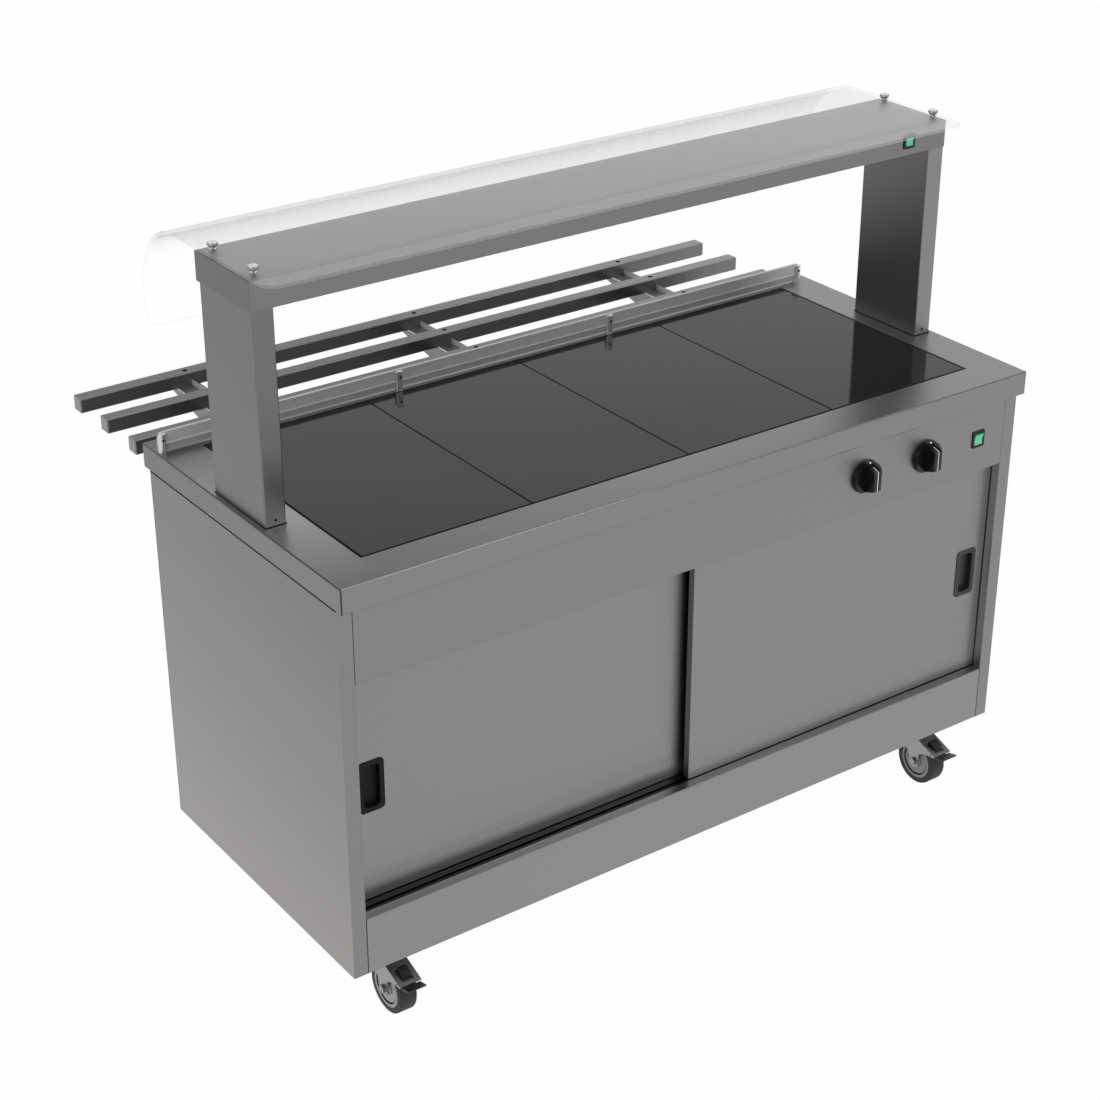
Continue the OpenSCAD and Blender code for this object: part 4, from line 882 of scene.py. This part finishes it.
class MakeControls(Maker, bpy.types.Operator):
    """Mould the knobs and rocker switches, with their white pointers"""
    bl_idname = "hot_cupboard.controls"
    bl_label = "Knobs and switches"

    def make(self, sheet, fitting, parts):
        black = finish("black phenolic", moulded(parts.knob, 0.2, 1.0, 0.01, 0.35))
        bezel = finish("dark bezel nylon", moulded(parts.bezel, 0.35, 1.0, 0.02, 0.25))
        green = finish("green polycarbonate", rocker_lens(parts.rocker_painted_shade, parts.rocker_painted_light))
        white = finish("white filling", moulded(parts.pointer, 0.5, 1.5, 0.0, 0.3))
        for hand, x in (("left", 368.0), ("right", 519.0)):
            rounded("knob_cap_" + hand, "knob_" + hand, KNOB_EDGE, black)
            pointer = self.pointer(x, fitting.pointer_width / MM)
            piece("knob_pointer_" + hand, pointer, hand + "_knob", "knob_plastic", white)
        for switch in ("cupboard", "gantry"):
            rounded(switch + "_bezel", switch + "_switch", SMALL_EDGE, bezel)
            rounded(switch + "_lens", switch + "_rocker", SMALL_EDGE, green)

    @staticmethod
    def pointer(x, width):
        """White line up the grip's slope and down its face, with a dot on the skirt."""
        gap, lift, half, corner = 0.6, 0.15, width / 2, 0.46
        panel_y, middle_z = -320.5, 784.4
        knob = facing_operator(x, panel_y, middle_z)
        face_foot, face_top, height, slope_top, slope_height = -18.0, 20.0, 32.0, 27.0, 13.0
        dot_rise, dot_height, dot_tilt = 31.0, 9.2, -40.0
        face = prism([(-half, face_foot), (half, face_foot), (half, face_top), (-half, face_top)], lift,
                     knob @ Matrix.Translation((0, 0, (height + gap) * MM)))
        rise, fall = slope_top - face_top - corner, height - slope_height
        reach = 0.75 * math.hypot(rise, fall)
        slope = prism([(-half, 0), (half, 0), (half, reach), (-half, reach)], lift,
                      knob @ Matrix.Translation((0, (face_top + corner) * MM, (height + gap) * MM))
                      @ Matrix.Rotation(-math.atan2(fall, rise), 4, "X"))
        dot = lathe([(0, -0.8), (1.9, -0.8), (1.9, 0.0), (1.2, 0.5), (0, 0.6)], 20)
        dot.transform(knob @ Matrix.Translation((0, dot_rise * MM, (dot_height + gap) * MM))
                      @ Matrix.Rotation(math.radians(dot_tilt), 4, "X"))
        return joined([face, slope, dot])


class MakeTraySlide(Maker, bpy.types.Operator):
    """Finish the three tray tubes and their brackets"""
    bl_idname = "hot_cupboard.tray_slide"
    bl_label = "Tray slide"

    def make(self, sheet, fitting, parts):
        # The tubes' steels paint light and shade: darker at the left, own tones for the fronts and left ends.
        rounded("slide_tubes", "tray_tubes", sheet.tube_corner, "tube", "tube front", "tube end",
                mark=lambda face: 1 if face.normal.y < -STEEP else 2 * (face.normal.x < -STEEP))
        rounded("slide_brackets", "tray_brackets", PLATE_EDGE, "head")
        saddles = joined([self.saddle(x, y) for x in BRACKETS for y in TUBE_GAPS])
        # The webs, facing sideways, wear the pale saddle steel: painted light.
        for face in saddles.faces:
            face.material_index = int(abs(face.normal.x) > STEEP)
        piece("bracket_saddles", saddles, "cabinet", SLOT_OF["tray_brackets"], "head", steel("saddle", 0.6))
        rounded("gland_body", "cable_gland", SMALL_EDGE,
                finish("black polyamide", moulded(parts.gland, 0.5, 1.0, 0.02)))

    @staticmethod
    def saddle(x, y):
        """Angle that fills a bracket between two tubes: a flat foot with one upright web."""
        outline = [(-25, 0.2), (8, 0.2), (8, 14), (6, 14), (6, 3), (-25, 3)]
        gap, play, drop = TUBE_PITCH - TUBE_WIDTH, 0.1, 46
        return prism(outline, gap - 2 * play, facing_operator(x, y + gap - play, WORKTOP_Z - drop))


class MakeCastors(Maker, bpy.types.Operator):
    """Press the castor forks, turn the wheels and mould the brake pedals"""
    bl_idname = "hot_cupboard.castors"
    bl_label = "Castors"

    def make(self, sheet, fitting, parts):
        zinc = zinc_plated("bright zinc", parts.zinc, 0.33)
        shaded = zinc_plated("shaded zinc", parts.shaded_zinc, 0.4)
        grey = finish("grey polyamide", moulded(parts.hub, 0.42, 1.2, 0.03))
        rubber = finish("black rubber", moulded(parts.tyre, 0.62, 1.5, 0.05))
        pedal = finish("black pedal nylon", moulded(parts.pedal, 0.4, 1.0, 0.03))
        shaded_groove_reach = 14.4 * MM
        rounded("swivel_plates", "castor_plates", THIN_EDGE, zinc)
        for corner in ("fl", "fr", "rl", "rr"):
            # On the front forks the faces that slope up towards the operator wear the darker zinc: painted
            # shade.
            rounded("fork_press_" + corner, "fork_" + corner, PLATE_EDGE, zinc, shaded,
                    mark=lambda face: corner[0] == "f" and face.normal.y < -0.2 and face.normal.z > 0.3)
            middle = sum(end.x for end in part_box("hub_" + corner)) / 2
            # The hub's faces nearer its middle than this reach are drawn in black rubber: painted shade in its
            # groove.
            rounded("hub_disc_" + corner, "hub_" + corner, 0.0, grey, rubber,
                    mark=lambda face: abs(face.calc_center_median().x - middle) < shaded_groove_reach)
            rounded("tyre_ring_" + corner, "tyre_" + corner, 0.0, rubber)
        for corner in ("fl", "fr"):
            rounded("pedal_lever_" + corner, "pedal_" + corner, PEDAL_EDGE, pedal)


class MakeFasteners(Maker, bpy.types.Operator):
    """Drive the screws of the gantry legs and of the back panel"""
    bl_idname = "hot_cupboard.fasteners"
    bl_label = "Screws"

    def make(self, sheet, fitting, parts):
        leg_x, leg_half, lift = 720.5, 86.0, 11
        feet = [(place(side * leg_x, way * leg_half, WORKTOP_Z + lift), (0, way, 0))
                for side in (-1, 1) for way in (-1, 1)]
        first, pitch, back_y = -715, 130, 318.2
        rows = [(place(first + pitch * i, back_y, z), (0, 1, 0)) for i in range(12) for z in (170.0, 845.0)]
        # The leg screws are drawn near black.
        sunk = zinc_plated("blackened steel screw", parts.shadow, 0.5)
        bright = zinc_plated("bright zinc", parts.zinc, 0.33)
        for name, made, rank in (("leg_screws", sunk, feet), ("panel_screws", bright, rows)):
            grown(name, head_tree(made), {"Radius": fitting.screw_radius, "Height": fitting.screw_height},
                  [spot for spot, way in rank], "cabinet", [way for spot, way in rank])


class SetStage(bpy.types.Operator):
    """Lay the pale floor, hang the soft lamps and set the camera"""
    bl_idname = "hot_cupboard.stage"
    bl_label = "Studio"
    bl_options = {"REGISTER", "UNDO"}

    def execute(self, context):
        stage = context.scene.hot_cupboard_stage
        self.floor(stage)
        self.world(context, stage)
        self.lamps()
        self.camera(context)
        context.scene.view_settings.view_transform = "Standard"
        return {"FINISHED"}

    @staticmethod
    def clear_rays(tree):
        """1 for rays that show the white background: from the camera, a gloss or through glass."""
        rays = add(tree, "ShaderNodeLightPath")
        first = add(tree, "ShaderNodeMath", {0: rays.outputs["Is Camera Ray"],
                                             1: rays.outputs["Is Glossy Ray"]}, operation="MAXIMUM")
        return add(tree, "ShaderNodeMath", {0: first, 1: rays.outputs["Is Transmission Ray"]},
                   operation="MAXIMUM")

    def floor(self, stage):
        def paper(tree):
            """Matt white paper that shows plain white itself and still takes the soft shadows."""
            card = add(tree, "ShaderNodeBsdfDiffuse", {"Color": (0.94, 0.94, 0.94, 1.0)})
            glow = add(tree, "ShaderNodeEmission", {"Color": (1, 1, 1, 1), "Strength": 1.0})
            share = add(tree, "ShaderNodeMath", {0: self.clear_rays(tree), 1: stage.glow},
                        operation="MULTIPLY")
            return add(tree, "ShaderNodeMixShader", {0: share, 1: card, 2: glow})

        half = stage.floor_size / 2
        data = bpy.data.meshes.new("studio_floor")
        data.from_pydata([(-half, -half, 0), (half, -half, 0), (half, half, 0), (-half, half, 0)], [],
                         [(0, 1, 2, 3)])
        data.materials.append(finish("pale studio floor", paper))
        put("studio_floor", data)

    def world(self, context, stage):
        context.scene.world = bpy.data.worlds.new("white studio")
        tree = emptied(context.scene.world)
        level = add(tree, "ShaderNodeMapRange", {"Value": self.clear_rays(tree), "To Min": stage.fill})
        sky = add(tree, "ShaderNodeBackground", {"Color": (1, 1, 1, 1), "Strength": level})
        add(tree, "ShaderNodeOutputWorld", {"Surface": sky})

    @staticmethod
    def lamps():
        for name, spot, aim, size, watts in (
                ("key_lamp", (2.6, -2.9, 4.2), (0, -0.1, 0.8), 1.8, 60),
                ("left_lamp", (-4.2, -1.2, 2.6), (0, 0, 0.5), 2.6, 40),
                ("top_lamp", (-0.6, 1.6, 5.0), (0, 0, 0.8), 3.0, 40)):
            data = bpy.data.lights.new(name, "AREA")
            data.shape = "SQUARE"
            data.size = size
            data.energy = watts
            ahead = (Vector(spot) - Vector(aim)).to_track_quat("Z", "Y")
            put(name, data).matrix_world = Matrix.Translation(spot) @ ahead.to_matrix().to_4x4()

    @staticmethod
    def camera(context):
        turned, tilt, roll = (math.radians(angle) for angle in (35.47, 27.13, -0.10))
        eye = (-2.2781, -3.1865, 2.5566)
        ahead = Vector((math.sin(turned) * math.cos(tilt), math.cos(turned) * math.cos(tilt), -math.sin(tilt)))
        right = ahead.cross(Vector((0, 0, 1))).normalized()
        up = right.cross(ahead)
        right, up = (right * math.cos(roll) + up * math.sin(roll), up * math.cos(roll) - right * math.sin(roll))
        data = bpy.data.cameras.new("photo_camera")
        data.lens = 74.33
        data.sensor_width = 36.0
        data.clip_end = 200.0
        camera = put("photo_camera", data)
        camera.matrix_world = Matrix.Translation(eye) @ Matrix((right, up, -ahead)).transposed().to_4x4()
        context.scene.camera = camera


STEPS = (MakeCabinet, MakeDoors, MakeInterior, MakeCeramicTop, MakeGantry, MakeGlass, MakeControls,
         MakeTraySlide, MakeCastors, MakeFasteners, SetStage)


class HotCupboardPanel(bpy.types.Panel):
    """Sizes, colours and pieces of the hot cupboard"""
    bl_idname = "VIEW3D_PT_hot_cupboard"
    bl_label = "Hot cupboard"
    bl_space_type = "VIEW_3D"
    bl_region_type = "UI"
    bl_category = "Hot cupboard"

    def draw(self, context):
        for name in GROUPS:
            box = self.layout.box()
            for field in GROUPS[name].__annotations__:
                box.prop(getattr(context.scene, name), field)
        for step in STEPS:
            self.layout.operator(step.bl_idname)


GROUPS = {"hot_cupboard_sheet": SheetSettings, "hot_cupboard_fitting": FittingSettings,
          "hot_cupboard_steel": SteelColours, "hot_cupboard_parts": PartColours,
          "hot_cupboard_stage": StageSettings}


def register():
    for made in (*GROUPS.values(), *STEPS, HotCupboardPanel):
        bpy.utils.register_class(made)
    for name, group in GROUPS.items():
        setattr(bpy.types.Scene, name, bpy.props.PointerProperty(type=group))


def unregister():
    for name in GROUPS:
        delattr(bpy.types.Scene, name)
    for made in reversed((*GROUPS.values(), *STEPS, HotCupboardPanel)):
        bpy.utils.unregister_class(made)


def main():
    register()
    for step in STEPS:
        group, name = step.bl_idname.split(".")
        getattr(getattr(bpy.ops, group), name)()


if __name__ == "__main__":
    main()
